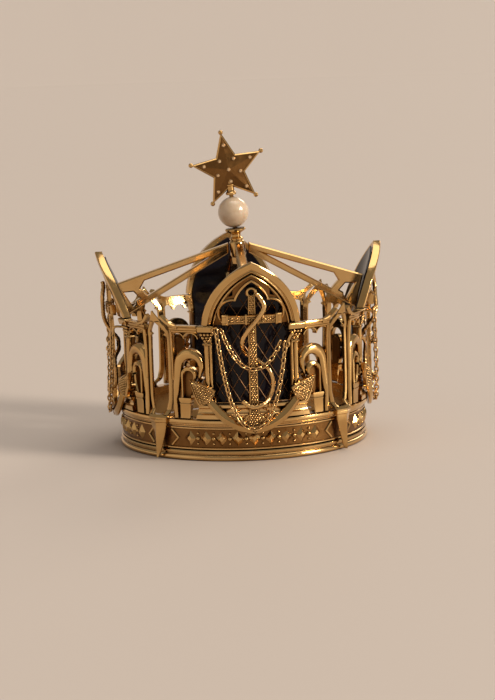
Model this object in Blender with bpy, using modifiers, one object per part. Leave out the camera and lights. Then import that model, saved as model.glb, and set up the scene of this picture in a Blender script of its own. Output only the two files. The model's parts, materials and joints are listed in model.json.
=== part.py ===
"""Small Gothic arcade crown: four arched windows with anchors and swagged chains, a pearl and a star.

The crown stands on its hoop at z = 0 with its axis on Z, and its front window faces -Y.
A wall piece is drawn flat as (s, n, z): s runs along the wall, n points outwards from the wall's face and
z is its height. It is then wrapped round the flared wall and turned to its place.
"""

import math

import bmesh
import bpy
from mathutils import Matrix, Vector

MM = 0.001

# Clearance between two pieces that are soldered, riveted or hooked together
SEAT_GAP = 0.3 * MM

# Wall: the radius of its face, upright from the hoop to just under the capitals' tops, and then how far it
# flares out to the arches' tips. A flat piece's widths are true at the wrap, a little outside the face.
WALL_RADIUS = 51.8 * MM
WALL_FLARE = 8.2 * MM
WALL_BEND_DROP = 6.0 * MM
WRAP_OUTSET = 1.2 * MM

# Hoop: lower rim, band and upper flange
RIM_HEIGHT = 4.2 * MM
RIM_PROUD = 0.2 * MM
RIM_BULGE = 0.6 * MM
BAND_HEIGHT = 9.0 * MM
BAND_RECESS = 1.0 * MM
BAND_WALL = 1.8 * MM
FLANGE_HEIGHT = 3.2 * MM
FLANGE_PROUD = 0.7 * MM
HOOP_WALL = 4.6 * MM

# Windows
SILL_HEIGHT = 5.8 * MM
SILL_MARGIN = 0.6 * MM
SILL_SLANT = 1.5 * MM
SILL_FRONT = 0.7 * MM
SPRING_Z = 55.0 * MM
ARCH_HALF_WIDTH = 20.5 * MM
ARCH_RISE = 25.8 * MM
ARCH_RADIUS = 36.0 * MM
ARCH_FACE = 4.0 * MM
FRAME_DEPTH = 3.2 * MM
SHAFT_INSET = 0.5 * MM
SHAFT_WIDTH = 3.2 * MM
CAPITAL_HEIGHT = 7.5 * MM
CAPITAL_INNER_LIP = 1.8 * MM
CAPITAL_OUTER_LIP = 2.2 * MM
FOOT_HEIGHT = 4.4 * MM
FOOT_INNER_LIP = 1.4 * MM
FOOT_OUTER_LIP = 1.8 * MM
BACKING_THICKNESS = 0.6 * MM
BACKING_LAP = 2.0 * MM
TRACERY_FRONT = -0.8 * MM
TRACERY_DEPTH = 1.6 * MM
LOBE_WEB = 3.3 * MM
LOBE_RISE = 5.0 * MM
LOBE_RADIUS = 5.6 * MM
TOP_LOBE_RADIUS = 15.0 * MM
TOP_LOBE_DROP = 7.6 * MM

# Anchors
ANCHOR_STANDOFF = 0.4 * MM
ANCHOR_FLARE = 0.06
ANCHOR_DEPTH = 1.8 * MM
ANCHOR_EYE_RISE = 13.4 * MM
ANCHOR_EYE_RADIUS = 2.3 * MM
ANCHOR_EYE_HOLE = 1.1 * MM
ANCHOR_FOOT_Z = 12.0 * MM
SHANK_HALF_WIDTH = 1.75 * MM
ARM_PATH = ((2.6, 2.2), (7.0, 3.4), (12.0, 6.4), (16.2, 10.8), (18.7, 14.2))
ARM_HALF_WIDTH = 1.7 * MM
PALM_TIP = (25.4, 21.4)
PALM_HALF_WIDTH = 4.6 * MM
STOCK_RISE = 2.6 * MM
STOCK_HEIGHT = 4.2 * MM
STOCK_HALF_LENGTH = 11.3 * MM
STOCK_DEPTH = 2.7 * MM
ROPE_RADIUS = 0.9 * MM

# Chains
CHAIN_STANDOFF = 2.6 * MM
CHAIN_RADIUS = 0.7 * MM
SHORT_CHAIN_LEAN_DEG = 6.0
LONG_CHAIN_LEAN_DEG = 2.6
CHAIN_LEFT_INSET = 1.4 * MM
CHAIN_LEFT_DROP = 1.5 * MM
CHAIN_RIGHT_INSET = 2.6 * MM
CHAIN_RIGHT_DROP = 8.0 * MM
CHAIN_INBOARD = 2.3 * MM
SHORT_CHAIN_SLACK = 10.0 * MM
LONG_CHAIN_SLACK = 56.0 * MM
CHAIN_HOOK_RADIUS = 0.6 * MM

# Keels and the grilles between keel and window
KEEL_RISE = 5.5 * MM
KEEL_TIP_Z = 0.6 * MM
KEEL_HALF_WIDTH = 6.4 * MM
KEEL_BAR = 1.9 * MM
KEEL_BACK = 1.0 * MM
KEEL_DEPTH = 1.0 * MM
KEEL_RIDGE = 1.0 * MM
KEEL_SETBACK = 2.8 * MM
KEEL_STEP = 2.6 * MM
RAIL_HEIGHT = 3.0 * MM
RAIL_CUSP = 2.4 * MM
HOOK_CLEARANCE = 1.1 * MM
HOOK_RISE = 21.3 * MM
NICHE_HALF_WIDTH = 3.6 * MM
NICHE_SETBACK = 3.2 * MM
GRILLE_BACK = -2.6 * MM

# Ribs and finial
RIB_THICKNESS = 3.6 * MM
RIB_CHAMFER = 0.9 * MM
RIB_TOP_RISE = 12.0 * MM
RIB_BOTTOM_DROP = 1.8 * MM
RIB_BAR = 3.4 * MM
RIB_SLOT_BAR = 2.9 * MM
RIB_SLOT_END = 7.2 * MM
RIB_HUB_CLEARANCE = 0.8 * MM
HUB_RADIUS = 3.5 * MM
HUB_RISE = 21.6 * MM
HUB_HEIGHT = 12.0 * MM
FINIAL_LEAN_DEG = 5.0
PIN_RADIUS = 0.9 * MM
NUT_HEIGHT = 2.6 * MM
NUT_RADIUS = 2.7 * MM
PEARL_RADIUS = 6.4 * MM
STAR_CLEARANCE = 11.6 * MM
STAR_RADIUS = 15.6 * MM
STAR_WAIST_RADIUS = 7.0 * MM
STAR_RIM_HALF = 0.7 * MM
STAR_PEAK_HALF = 2.2 * MM
STAR_BEAD_RADIUS = 1.2 * MM
STAR_TURN_DEG = 5.0

# Fineness of turned and wrapped pieces
HOOP_STEPS = 60
TURN_STEPS = 18
WRAP_STEP = 8.0 * MM

WINDOWS = (("front", 0), ("right", 90), ("back", 180), ("left", 270))
CORNERS = (("front_right", 45), ("back_right", 135), ("back_left", 225), ("front_left", 315))

# Radii that follow from the wall's
WALL_TIP_RADIUS = WALL_RADIUS + WALL_FLARE
WRAP_RADIUS = WALL_RADIUS + WRAP_OUTSET
RIM_RADIUS = WALL_RADIUS + RIM_PROUD
BAND_RADIUS = WALL_RADIUS - BAND_RECESS
FLANGE_RADIUS = WALL_RADIUS + FLANGE_PROUD
HOOP_INNER_RADIUS = WALL_RADIUS - HOOP_WALL
RIB_HUB_RADIUS = HUB_RADIUS + RIB_HUB_CLEARANCE
CORNER_S = math.radians(45) * WRAP_RADIUS

# Widths that follow from the arch's
SHAFT_OUTER = ARCH_HALF_WIDTH - SHAFT_INSET
SHAFT_INNER = SHAFT_OUTER - SHAFT_WIDTH
CAPITAL_INNER = SHAFT_INNER - CAPITAL_INNER_LIP
CAPITAL_OUTER = SHAFT_OUTER + CAPITAL_OUTER_LIP
FOOT_INNER = SHAFT_INNER - FOOT_INNER_LIP
FOOT_OUTER = SHAFT_OUTER + FOOT_OUTER_LIP
SILL_HALF_WIDTH = FOOT_OUTER + SILL_MARGIN
HOOK_RADIUS = (CORNER_S - SHAFT_OUTER - SEAT_GAP - KEEL_HALF_WIDTH - HOOK_CLEARANCE) / 2

# Heights and depths that follow from the sizes above
BAND_Z = RIM_HEIGHT + SEAT_GAP
FLANGE_Z = BAND_Z + BAND_HEIGHT + SEAT_GAP
SILL_Z = FLANGE_Z + FLANGE_HEIGHT + SEAT_GAP
FRAME_Z = SILL_Z + SILL_HEIGHT + SEAT_GAP
BACKING_FRONT = -FRAME_DEPTH - SEAT_GAP
WALL_BACK = BACKING_FRONT - BACKING_THICKNESS
WALL_BEND_Z = SPRING_Z - WALL_BEND_DROP
TOP_LOBE_Z = SPRING_Z + ARCH_RISE - TOP_LOBE_DROP
ANCHOR_EYE_Z = SPRING_Z + ANCHOR_EYE_RISE
STOCK_Z = SPRING_Z + STOCK_RISE
CHAIN_PLANE_Y = -(WALL_RADIUS + CHAIN_STANDOFF)
KEEL_TOP_Z = SPRING_Z + KEEL_RISE
RAIL_Z = SPRING_Z - RAIL_HEIGHT
HOOK_Z = SILL_Z + HOOK_RISE
RIB_TOP_Z = SPRING_Z + RIB_TOP_RISE
RIB_BOTTOM_Z = SPRING_Z - RIB_BOTTOM_DROP
HUB_Z = SPRING_Z + HUB_RISE
STAR_CENTRE_Z = HUB_Z + HUB_HEIGHT + 2 * PEARL_RADIUS + STAR_CLEARANCE

# Hanging points of the chains and the middle of a lower lobe, as (s, z)
CHAIN_LEFT = (CHAIN_LEFT_INSET - CAPITAL_INNER, SPRING_Z - CHAIN_LEFT_DROP)
CHAIN_RIGHT = (CAPITAL_INNER - CHAIN_RIGHT_INSET, SPRING_Z - CHAIN_RIGHT_DROP)
CHAIN_SPAN = CHAIN_RIGHT[0] - CHAIN_LEFT[0]
SHORT_CHAIN_LENGTH = CHAIN_SPAN + SHORT_CHAIN_SLACK
LONG_CHAIN_LENGTH = CHAIN_SPAN + LONG_CHAIN_SLACK
LOBE_CENTRE = (ARCH_HALF_WIDTH - ARCH_FACE - SEAT_GAP - LOBE_WEB - LOBE_RADIUS, SPRING_Z + LOBE_RISE)

PALETTE = {
    "polished_gold": ((0.80, 0.50, 0.20, 1.0), 0.16, 1.0),
    "satin_gold": ((0.62, 0.36, 0.14, 1.0), 0.32, 1.0),
    "dark_enamel": ((0.02, 0.02, 0.05, 1.0), 0.35, 0.0),
    "pearl": ((0.82, 0.76, 0.66, 1.0), 0.22, 0.0),
}


# ---------------------------------------------------------------- scene

def clear_scene():
    """Remove whatever the file holds."""
    for obj in list(bpy.data.objects):
        bpy.data.objects.remove(obj, do_unlink=True)


def new_collection(name):
    """Add an empty collection to the scene."""
    collection = bpy.data.collections.new(name)
    bpy.context.scene.collection.children.link(collection)
    return collection


def material(name):
    """Return the palette's material of this name, made on first use."""
    found = bpy.data.materials.get(name)
    if found:
        return found
    colour, roughness, metallic = PALETTE[name]
    made = bpy.data.materials.new(name)
    made.use_nodes = True
    shader = made.node_tree.nodes["Principled BSDF"]
    shader.inputs["Base Color"].default_value = colour
    shader.inputs["Roughness"].default_value = roughness
    shader.inputs["Metallic"].default_value = metallic
    made.diffuse_color = colour
    return made


def add_piece(name, mesh, finish, turn_deg=0.0, parent=None):
    """Add one named piece, turned about the crown's axis or held by a parent empty."""
    if not mesh.materials:
        mesh.materials.append(material(finish))
    piece = bpy.data.objects.new(name, mesh)
    piece.rotation_euler = (0.0, 0.0, math.radians(turn_deg))
    piece.parent = parent
    CROWN.objects.link(piece)
    return piece


def add_empty(name, matrix):
    """Add an empty that marks a joint or carries pieces."""
    empty = bpy.data.objects.new(name, None)
    empty.empty_display_size = 5.0 * MM
    empty.matrix_world = matrix
    CROWN.objects.link(empty)
    return empty


# ---------------------------------------------------------------- shapes

def arc(centre, radius, start_deg, end_deg, steps):
    """Points along a circle's arc, both ends included."""
    angles = [math.radians(start_deg + (end_deg - start_deg) * i / steps) for i in range(steps + 1)]
    return [(centre[0] + radius * math.cos(a), centre[1] + radius * math.sin(a)) for a in angles]


def flipped(points):
    """The same points on the other side of s = 0, in reverse order."""
    return [(-s, z) for s, z in reversed(points)]


def smooth(points, steps):
    """Points on a Catmull-Rom curve through the given points."""
    vectors = [Vector(p) for p in points]
    padded = [2 * vectors[0] - vectors[1]] + vectors + [2 * vectors[-1] - vectors[-2]]
    path = []
    for a, b, c, d in zip(padded, padded[1:], padded[2:], padded[3:]):
        for i in range(steps):
            t = i / steps
            spot = 2 * b + (c - a) * t + (2 * a - 5 * b + 4 * c - d) * t ** 2 + (3 * b - a - 3 * c + d) * t ** 3
            path.append(tuple(spot / 2))
    return path + [tuple(vectors[-1])]


def baked(obj):
    """Turn an object into a clean mesh with its modifiers applied, and remove the object."""
    bpy.context.view_layer.update()
    evaluated = obj.evaluated_get(bpy.context.evaluated_depsgraph_get())
    mesh = bpy.data.meshes.new_from_object(evaluated)
    mesh.materials.clear()
    bpy.data.objects.remove(obj, do_unlink=True)
    edit = bmesh.new()
    edit.from_mesh(mesh)
    bmesh.ops.remove_doubles(edit, verts=edit.verts, dist=0.002 * MM)
    bmesh.ops.recalc_face_normals(edit, faces=edit.faces)
    edit.to_mesh(mesh)
    edit.free()
    return mesh


def work_object(data):
    """Link data to a scratch object."""
    obj = bpy.data.objects.new("work", data)
    WORK.objects.link(obj)
    return obj


def plate(loops, back, depth):
    """A flat outline in (s, z) with its holes, as a solid between n = back and n = back + depth."""
    curve = bpy.data.curves.new("outline", "CURVE")
    curve.dimensions = "2D"
    curve.fill_mode = "BOTH"
    curve.extrude = depth / 2
    for loop in loops:
        spline = curve.splines.new("POLY")
        spline.points.add(len(loop) - 1)
        for point, (s, z) in zip(spline.points, loop):
            point.co = (s, z, 0.0, 1.0)
        spline.use_cyclic_u = True
    mesh = baked(work_object(curve))
    stand = Matrix.Translation((0.0, -(back + depth / 2), 0.0)) @ Matrix.Rotation(math.radians(90), 4, "X")
    mesh.transform(stand)
    return mesh


def tube(points, radius, sides_level):
    """A round bar along points, with closed ends."""
    curve = bpy.data.curves.new("path", "CURVE")
    curve.dimensions = "3D"
    curve.bevel_depth = radius
    curve.bevel_resolution = sides_level
    curve.use_fill_caps = True
    spline = curve.splines.new("POLY")
    spline.points.add(len(points) - 1)
    for point, place in zip(spline.points, points):
        point.co = (*place, 1.0)
    return baked(work_object(curve))


def turned(profile, steps):
    """A solid turned about Z from a closed (radius, z) profile, or one that starts and ends on the axis."""
    edit = bmesh.new()
    corners = [edit.verts.new((r, 0.0, z)) for r, z in profile]
    for first, second in zip(corners, corners[1:]):
        edit.edges.new((first, second))
    if profile[0][0] > 0:
        edit.edges.new((corners[-1], corners[0]))
    mesh = bpy.data.meshes.new("profile")
    edit.to_mesh(mesh)
    edit.free()
    obj = work_object(mesh)
    screw = obj.modifiers.new("turn", "SCREW")
    screw.steps = steps
    screw.render_steps = steps
    screw.use_merge_vertices = True
    screw.merge_threshold = 0.001 * MM
    return baked(obj)


def combined(meshes, operation="UNION"):
    """Join solids into one, or cut the later ones from the first."""
    body = work_object(meshes[0])
    others = [work_object(mesh) for mesh in meshes[1:]]
    for other in others:
        boolean = body.modifiers.new("combine", "BOOLEAN")
        boolean.operation = operation
        boolean.solver = "EXACT"
        boolean.object = other
    mesh = baked(body)
    for other in others:
        bpy.data.objects.remove(other, do_unlink=True)
    return mesh


# ---------------------------------------------------------------- the flared wall

def wall_radius(z):
    """Radius of the wall's face at a height."""
    flare = (WALL_TIP_RADIUS - WALL_RADIUS) / (SPRING_Z + ARCH_RISE - WALL_BEND_Z)
    return WALL_RADIUS + flare * max(z - WALL_BEND_Z, 0.0)


def anchor_radius(z):
    """Radius of an anchor's back: in front of the hoop and the sill, and leaning out a little at its eye."""
    return FLANGE_RADIUS + ANCHOR_STANDOFF + ANCHOR_FLARE * max(z - WALL_BEND_Z, 0.0)


def on_wall(s, n, z, radius_at=wall_radius):
    """Wrap one flat point round the front side, n outside the radius that a piece follows."""
    angle = s / WRAP_RADIUS
    radius = radius_at(z) + n
    return Vector((radius * math.sin(angle), -radius * math.cos(angle), z))


def sliced(edit, place, normal):
    """Cut a mesh's faces along a plane and keep both sides."""
    everything = edit.verts[:] + edit.edges[:] + edit.faces[:]
    bmesh.ops.bisect_plane(edit, geom=everything, dist=0.02 * MM, plane_co=place, plane_no=normal)


def wrapped(mesh, radius_at=wall_radius):
    """Wrap a flat mesh round the crown, sliced finely enough to follow the curve and the wall's bend."""
    edit = bmesh.new()
    edit.from_mesh(mesh)
    spread = [v.co.x for v in edit.verts]
    for i in range(math.ceil(min(spread) / WRAP_STEP), math.floor(max(spread) / WRAP_STEP) + 1):
        sliced(edit, (i * WRAP_STEP, 0.0, 0.0), (1.0, 0.0, 0.0))
    sliced(edit, (0.0, 0.0, WALL_BEND_Z), (0.0, 0.0, 1.0))
    for vertex in edit.verts:
        vertex.co = on_wall(vertex.co.x, -vertex.co.y, vertex.co.z, radius_at)
    bmesh.ops.remove_doubles(edit, verts=edit.verts, dist=0.002 * MM)
    edit.to_mesh(mesh)
    edit.free()
    return mesh


# ---------------------------------------------------------------- hoop

def add_hoop():
    """Add the lower rim, the band and the upper flange, each one a turned ring."""
    rim_shoulder = RIM_RADIUS - RIM_BULGE
    rim = [
        (HOOP_INNER_RADIUS, 0.0),
        (rim_shoulder, 0.0),
        (RIM_RADIUS, RIM_HEIGHT * 0.2),
        (RIM_RADIUS, RIM_HEIGHT * 0.7),
        (rim_shoulder, RIM_HEIGHT),
        (HOOP_INNER_RADIUS, RIM_HEIGHT),
    ]
    band_top = BAND_Z + BAND_HEIGHT
    band_inner = BAND_RADIUS - BAND_WALL
    band = [(band_inner, BAND_Z), (BAND_RADIUS, BAND_Z), (BAND_RADIUS, band_top), (band_inner, band_top)]
    flange_top = FLANGE_Z + FLANGE_HEIGHT
    flange_neck = BAND_RADIUS + RIM_BULGE
    flange = [
        (HOOP_INNER_RADIUS, FLANGE_Z),
        (flange_neck, FLANGE_Z),
        (FLANGE_RADIUS, FLANGE_Z + FLANGE_HEIGHT * 0.3),
        (FLANGE_RADIUS, flange_top),
        (HOOP_INNER_RADIUS, flange_top),
    ]
    add_piece("lower_rim", turned(rim, HOOP_STEPS), "polished_gold")
    add_piece("inscription_band", turned(band, HOOP_STEPS), "satin_gold")
    add_piece("upper_flange", turned(flange, HOOP_STEPS), "polished_gold")


# ---------------------------------------------------------------- windows

def window_arc(inset, steps):
    """Right half of the pointed arch, from its springing up to its point, inset from the outer edge."""
    chord = Vector((-ARCH_HALF_WIDTH, ARCH_RISE))
    inward = Vector((-chord.y, chord.x)).normalized()
    centre = Vector((ARCH_HALF_WIDTH, SPRING_Z)) + chord / 2
    centre += inward * math.sqrt(ARCH_RADIUS ** 2 - (chord.length / 2) ** 2)
    radius = ARCH_RADIUS - inset
    start = math.degrees(math.asin((SPRING_Z - centre.y) / radius))
    end = math.degrees(math.acos(-centre.x / radius))
    return arc(centre, radius, start, end, steps)


def sill_mesh():
    """The block under a window, with slanted ends."""
    top = SILL_Z + SILL_HEIGHT
    half = [(SILL_HALF_WIDTH + SILL_SLANT, SILL_Z), (SILL_HALF_WIDTH, top)]
    return wrapped(plate([half + flipped(half)], WALL_BACK, SILL_FRONT - WALL_BACK))


def frame_mesh():
    """A window's pointed arch with its two columns, their feet and capitals, and the chain hooks."""
    capital_z = SPRING_Z - CAPITAL_HEIGHT
    neck_z = SPRING_Z - CAPITAL_HEIGHT * 0.4
    foot_top = FRAME_Z + FOOT_HEIGHT
    outer = [
        (FOOT_OUTER, FRAME_Z),
        (FOOT_OUTER, FRAME_Z + FOOT_HEIGHT / 2),
        (SHAFT_OUTER, foot_top),
        (SHAFT_OUTER, capital_z),
        (CAPITAL_OUTER, neck_z),
        (CAPITAL_OUTER, SPRING_Z),
    ] + window_arc(0.0, 8)
    inner = [
        (FOOT_INNER, FRAME_Z),
        (FOOT_INNER, FRAME_Z + FOOT_HEIGHT / 2),
        (SHAFT_INNER, foot_top),
        (SHAFT_INNER, capital_z),
        (CAPITAL_INNER, neck_z),
        (CAPITAL_INNER, SPRING_Z),
    ] + window_arc(ARCH_FACE, 8)
    left_inner = [(-s, z) for s, z in inner]
    loop = outer + flipped(outer)[1:] + left_inner + inner[::-1][1:]
    body = plate([loop], -FRAME_DEPTH, FRAME_DEPTH)
    hooks = [chain_hook(CHAIN_LEFT, -1.0), chain_hook(CHAIN_RIGHT, 1.0)]
    return wrapped(combined([body] + hooks))


def chain_hook(place, side):
    """A small hook from a capital out to the end of the chains, on the flat wall."""
    s, z = place
    reach = CHAIN_RADIUS + SEAT_GAP
    tip = Vector((s + side * reach, -chain_depth(place), z))
    root = Vector((side * (CAPITAL_INNER + 1.2 * MM), FRAME_DEPTH / 2, max(z, SPRING_Z - CAPITAL_HEIGHT / 2)))
    knee = Vector((side * (CAPITAL_INNER + 0.6 * MM), -chain_depth(place) * 0.7, root.z))
    return tube(smooth([root, knee, tip], 2), CHAIN_HOOK_RADIUS, 0)


def tracery_mesh():
    """The trefoil inside an arch, with a small piercing in each spandrel."""
    foot_z = SPRING_Z + SEAT_GAP
    edge = window_arc(ARCH_FACE + SEAT_GAP, 8)
    edge[0] = (edge[0][0], foot_z)
    centre_s, centre_z = LOBE_CENTRE
    start = math.degrees(math.asin((foot_z - centre_z) / LOBE_RADIUS))
    lobe = arc(LOBE_CENTRE, LOBE_RADIUS, start, 100.0, 6)
    cusp = Vector(lobe[-1])
    peak = Vector((0.0, TOP_LOBE_Z))
    chord = peak - cusp
    away = Vector((-chord.y, chord.x)).normalized()
    centre = (cusp + peak) / 2 + away * math.sqrt(TOP_LOBE_RADIUS ** 2 - (chord.length / 2) ** 2)
    begin = math.degrees(math.atan2(cusp.y - centre.y, cusp.x - centre.x))
    end = math.degrees(math.atan2(peak.y - centre.y, peak.x - centre.x))
    opening = lobe + arc(centre, TOP_LOBE_RADIUS, begin, end, 3)[1:]
    left_opening = [(-s, z) for s, z in opening]
    loop = edge + flipped(edge)[1:] + left_opening + opening[::-1][1:]
    base = cusp + Vector((0.8 * MM, 1.8 * MM))
    piercing = [tuple(base), tuple(base + Vector((1.8, -0.4)) * MM), tuple(base + Vector((-0.1, 2.2)) * MM)]
    return wrapped(plate([loop, piercing, flipped(piercing)], TRACERY_FRONT - TRACERY_DEPTH, TRACERY_DEPTH))


def backing_mesh():
    """The dark plate behind a window, lapping its frame from behind."""
    half_width = ARCH_HALF_WIDTH - BACKING_LAP
    half = [(half_width, FRAME_Z)] + window_arc(BACKING_LAP, 5)
    return wrapped(plate([half + flipped(half)[1:]], WALL_BACK, BACKING_THICKNESS))


# ---------------------------------------------------------------- anchors

def anchor_mesh():
    """An anchor cut from plate: eye, shank, two curved arms with arrow-shaped palms, and a pointed crown."""
    foot = Vector((0.0, ANCHOR_FOOT_Z))
    middle_line = [foot + Vector(point) * MM for point in smooth(ARM_PATH, 2)]
    lower, upper = [], []
    for before, spot, after in zip([middle_line[0]] + middle_line, middle_line, middle_line[1:] + [middle_line[-1]]):
        along = (after - before).normalized()
        side = Vector((along.y, -along.x)) * ARM_HALF_WIDTH
        lower.append(tuple(spot + side))
        upper.append(tuple(spot - side))
    arm = lower + upper[::-1]
    base = middle_line[-1]
    tip = foot + Vector(PALM_TIP) * MM
    along = (tip - base).normalized()
    side = Vector((along.y, -along.x)) * PALM_HALF_WIDTH
    palm = [
        tuple(base + side - along * 0.6 * MM),
        tuple(base + side * 0.86 + along * 2.6 * MM),
        tuple(tip),
        tuple(base - side * 0.86 + along * 2.6 * MM),
        tuple(base - side - along * 0.6 * MM),
        tuple(base - along * 2.4 * MM),
    ]
    arm_foot = ANCHOR_FOOT_Z + 1.5 * MM
    shank = [(SHANK_HALF_WIDTH, arm_foot), (SHANK_HALF_WIDTH * 0.8, ANCHOR_EYE_Z - ANCHOR_EYE_RADIUS * 0.6)]
    crown_half = 4.2 * MM
    crown = [(crown_half, arm_foot + 1.5 * MM), (crown_half, arm_foot + 4.0 * MM), (SHANK_HALF_WIDTH, arm_foot + 7.5 * MM)]
    middle = crown + flipped(crown) + [tuple(foot)]
    eye = arc((0.0, ANCHOR_EYE_Z), ANCHOR_EYE_RADIUS, 0.0, 330.0, 11)
    bore = arc((0.0, ANCHOR_EYE_Z), ANCHOR_EYE_HOLE, 0.0, 315.0, 7)
    trim = 0.15 * MM
    solids = [
        plate([middle], 0.0, ANCHOR_DEPTH),
        plate([shank + flipped(shank)], trim, ANCHOR_DEPTH - 2 * trim),
        plate([arm], 2 * trim, ANCHOR_DEPTH - 4 * trim),
        plate([flipped(arm)], 2 * trim, ANCHOR_DEPTH - 4 * trim),
        plate([palm], 2.5 * trim, ANCHOR_DEPTH - 5 * trim),
        plate([flipped(palm)], 2.5 * trim, ANCHOR_DEPTH - 5 * trim),
        plate([eye, bore], 3 * trim, ANCHOR_DEPTH - 6 * trim),
    ]
    return wrapped(combined(solids), anchor_radius)


def stock_mesh():
    """The anchor's cross-bar, notched behind to sit over the shank."""
    bar = [
        (-STOCK_HALF_LENGTH, STOCK_Z - STOCK_HEIGHT / 2),
        (STOCK_HALF_LENGTH, STOCK_Z - STOCK_HEIGHT / 2),
        (STOCK_HALF_LENGTH, STOCK_Z + STOCK_HEIGHT / 2),
        (-STOCK_HALF_LENGTH, STOCK_Z + STOCK_HEIGHT / 2),
    ]
    notch_half = SHANK_HALF_WIDTH + SEAT_GAP
    notch = [
        (-notch_half, STOCK_Z - STOCK_HEIGHT),
        (notch_half, STOCK_Z - STOCK_HEIGHT),
        (notch_half, STOCK_Z + STOCK_HEIGHT),
        (-notch_half, STOCK_Z + STOCK_HEIGHT),
    ]
    body = plate([bar], 0.0, STOCK_DEPTH)
    slot = plate([notch], -STOCK_DEPTH, STOCK_DEPTH + ANCHOR_DEPTH + SEAT_GAP)
    return wrapped(combined([body, slot], "DIFFERENCE"), anchor_radius)


def rope_mesh():
    """The cast rope that winds over the stock, behind the shank and back to the anchor's foot."""
    beside = ANCHOR_DEPTH / 2
    over_stock = STOCK_DEPTH + SEAT_GAP + ROPE_RADIUS
    over_shank = ANCHOR_DEPTH + SEAT_GAP + ROPE_RADIUS
    behind = -SEAT_GAP - ROPE_RADIUS
    clear = SHANK_HALF_WIDTH + SEAT_GAP + ROPE_RADIUS
    route = [
        (clear, over_shank, STOCK_Z + 8.8 * MM),
        (4.4 * MM, over_stock, STOCK_Z + 5.0 * MM),
        (1.6 * MM, over_stock, STOCK_Z),
        (-1.8 * MM, over_stock, STOCK_Z - 4.2 * MM),
        (-clear - 0.8 * MM, over_shank, STOCK_Z - 8.0 * MM),
        (-clear - 0.9 * MM, beside, STOCK_Z - 11.4 * MM),
        (-clear + 0.4 * MM, behind, STOCK_Z - 14.0 * MM),
        (0.4 * MM, behind - 0.2 * MM, STOCK_Z - 16.0 * MM),
        (clear, behind, STOCK_Z - 17.6 * MM),
        (6.4 * MM, beside, 36.8 * MM),
        (7.8 * MM, beside, 31.4 * MM),
        (6.4 * MM, beside, 26.2 * MM),
        (clear, over_shank, 23.4 * MM),
        (-1.0 * MM, over_shank, 22.6 * MM),
        (-4.6 * MM, over_shank, 25.2 * MM),
    ]
    path = [(s, -n, z) for s, n, z in smooth(route, 2)]
    return wrapped(tube(path, ROPE_RADIUS, 1), anchor_radius)


# ---------------------------------------------------------------- chains

def chain_depth(place):
    """How far outside the wall's face the chains' plane lies at a hanging point."""
    s, z = place
    return -CHAIN_PLANE_Y / math.cos(s / WRAP_RADIUS) - wall_radius(z)


def chain_end(place):
    """A hanging point of the front window in the crown's own frame."""
    s, z = place
    return on_wall(s, chain_depth(place), z)


def chain_ends(inboard):
    """Both ends of a chain, moved in along the line that joins the two hooks."""
    left = chain_end(CHAIN_LEFT)
    right = chain_end(CHAIN_RIGHT)
    along = (right - left).normalized()
    return left + along * inboard, right - along * inboard


def hanging_curve(left, right, length, count):
    """Points of a chain of a given length that hangs between two points at the same depth."""
    span = right.x - left.x
    drop = right.z - left.z
    target = math.sqrt(length ** 2 - drop ** 2)
    low, high = span / 40, span * 10
    for _ in range(60):
        size = (low + high) / 2
        if 2 * size * math.sinh(span / (2 * size)) > target:
            low = size
        else:
            high = size
    middle = (left.x + right.x) / 2 - size * math.atanh(drop / length)
    base = left.z - size * math.cosh((left.x - middle) / size)
    steepest = math.asinh((left.x - middle) / size)
    shallow = math.asinh((right.x - middle) / size)
    start = math.sinh((left.x - middle) / size)
    finish = math.sinh((right.x - middle) / size)
    points = []
    for i in range(count + 1):
        x = middle + size * math.asinh(start + (finish - start) * i / count)
        points.append(Vector((x, left.y, base + size * math.cosh((x - middle) / size))))
    return points


def add_chain(name, inboard, length, lean_deg, count, turn_deg):
    """Add a chain that swings about the line between its two ends and rests leaning on the anchor."""
    left, right = chain_ends(inboard)
    pivot = (left + right) / 2
    lean = Matrix.Rotation(math.radians(-lean_deg), 4, right - left)
    points = [lean @ (point - pivot) for point in hanging_curve(left, right, length, count)]
    turn = Matrix.Rotation(math.radians(turn_deg), 4, "Z")
    empty = add_empty(f"{name}_pivot", turn @ Matrix.Translation(pivot))
    add_piece(name, tube(points, CHAIN_RADIUS, 1), "satin_gold", parent=empty)


# ---------------------------------------------------------------- keels and grilles

def keel_mesh():
    """A tall lancet on a corner like a keel, ridged down its middle, with a slim opening.

    It stands in line with the grilles and steps out over the flange, so that its tip covers band and rim.
    """
    height = KEEL_TOP_Z - KEEL_TIP_Z
    shape = ((0.0, 0.05), (0.14, 0.42), (0.27, 0.70), (0.34, 0.86), (0.45, 1.0), (0.80, 1.0), (0.88, 0.76))
    shape += ((0.94, 0.38), (1.0, 0.06))
    outer = smooth([(KEEL_HALF_WIDTH * w, KEEL_TIP_Z + height * t) for t, w in shape], 2)
    slim = KEEL_HALF_WIDTH - KEEL_BAR
    slot_shape = ((0.30, 0.60), (0.36, 0.85), (0.45, 1.0), (0.80, 1.0), (0.87, 0.68), (0.92, 0.04))
    inner = smooth([(slim * w, KEEL_TIP_Z + height * t) for t, w in slot_shape], 2)
    mesh = plate([outer + flipped(outer), inner + flipped(inner)], KEEL_BACK, KEEL_DEPTH)
    edit = bmesh.new()
    edit.from_mesh(mesh)
    sliced(edit, (0.0, 0.0, 0.0), (1.0, 0.0, 0.0))
    for z in (SILL_Z, SILL_Z + KEEL_STEP):
        sliced(edit, (0.0, 0.0, z), (0.0, 0.0, 1.0))
    for vertex in edit.verts:
        vertex.co.y -= KEEL_RIDGE * max(0.0, 1.0 - abs(vertex.co.x) / KEEL_HALF_WIDTH)
        vertex.co.y += KEEL_SETBACK * min(1.0, max(0.0, (vertex.co.z - SILL_Z) / KEEL_STEP))
    edit.to_mesh(mesh)
    edit.free()
    return wrapped(mesh)


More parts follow.
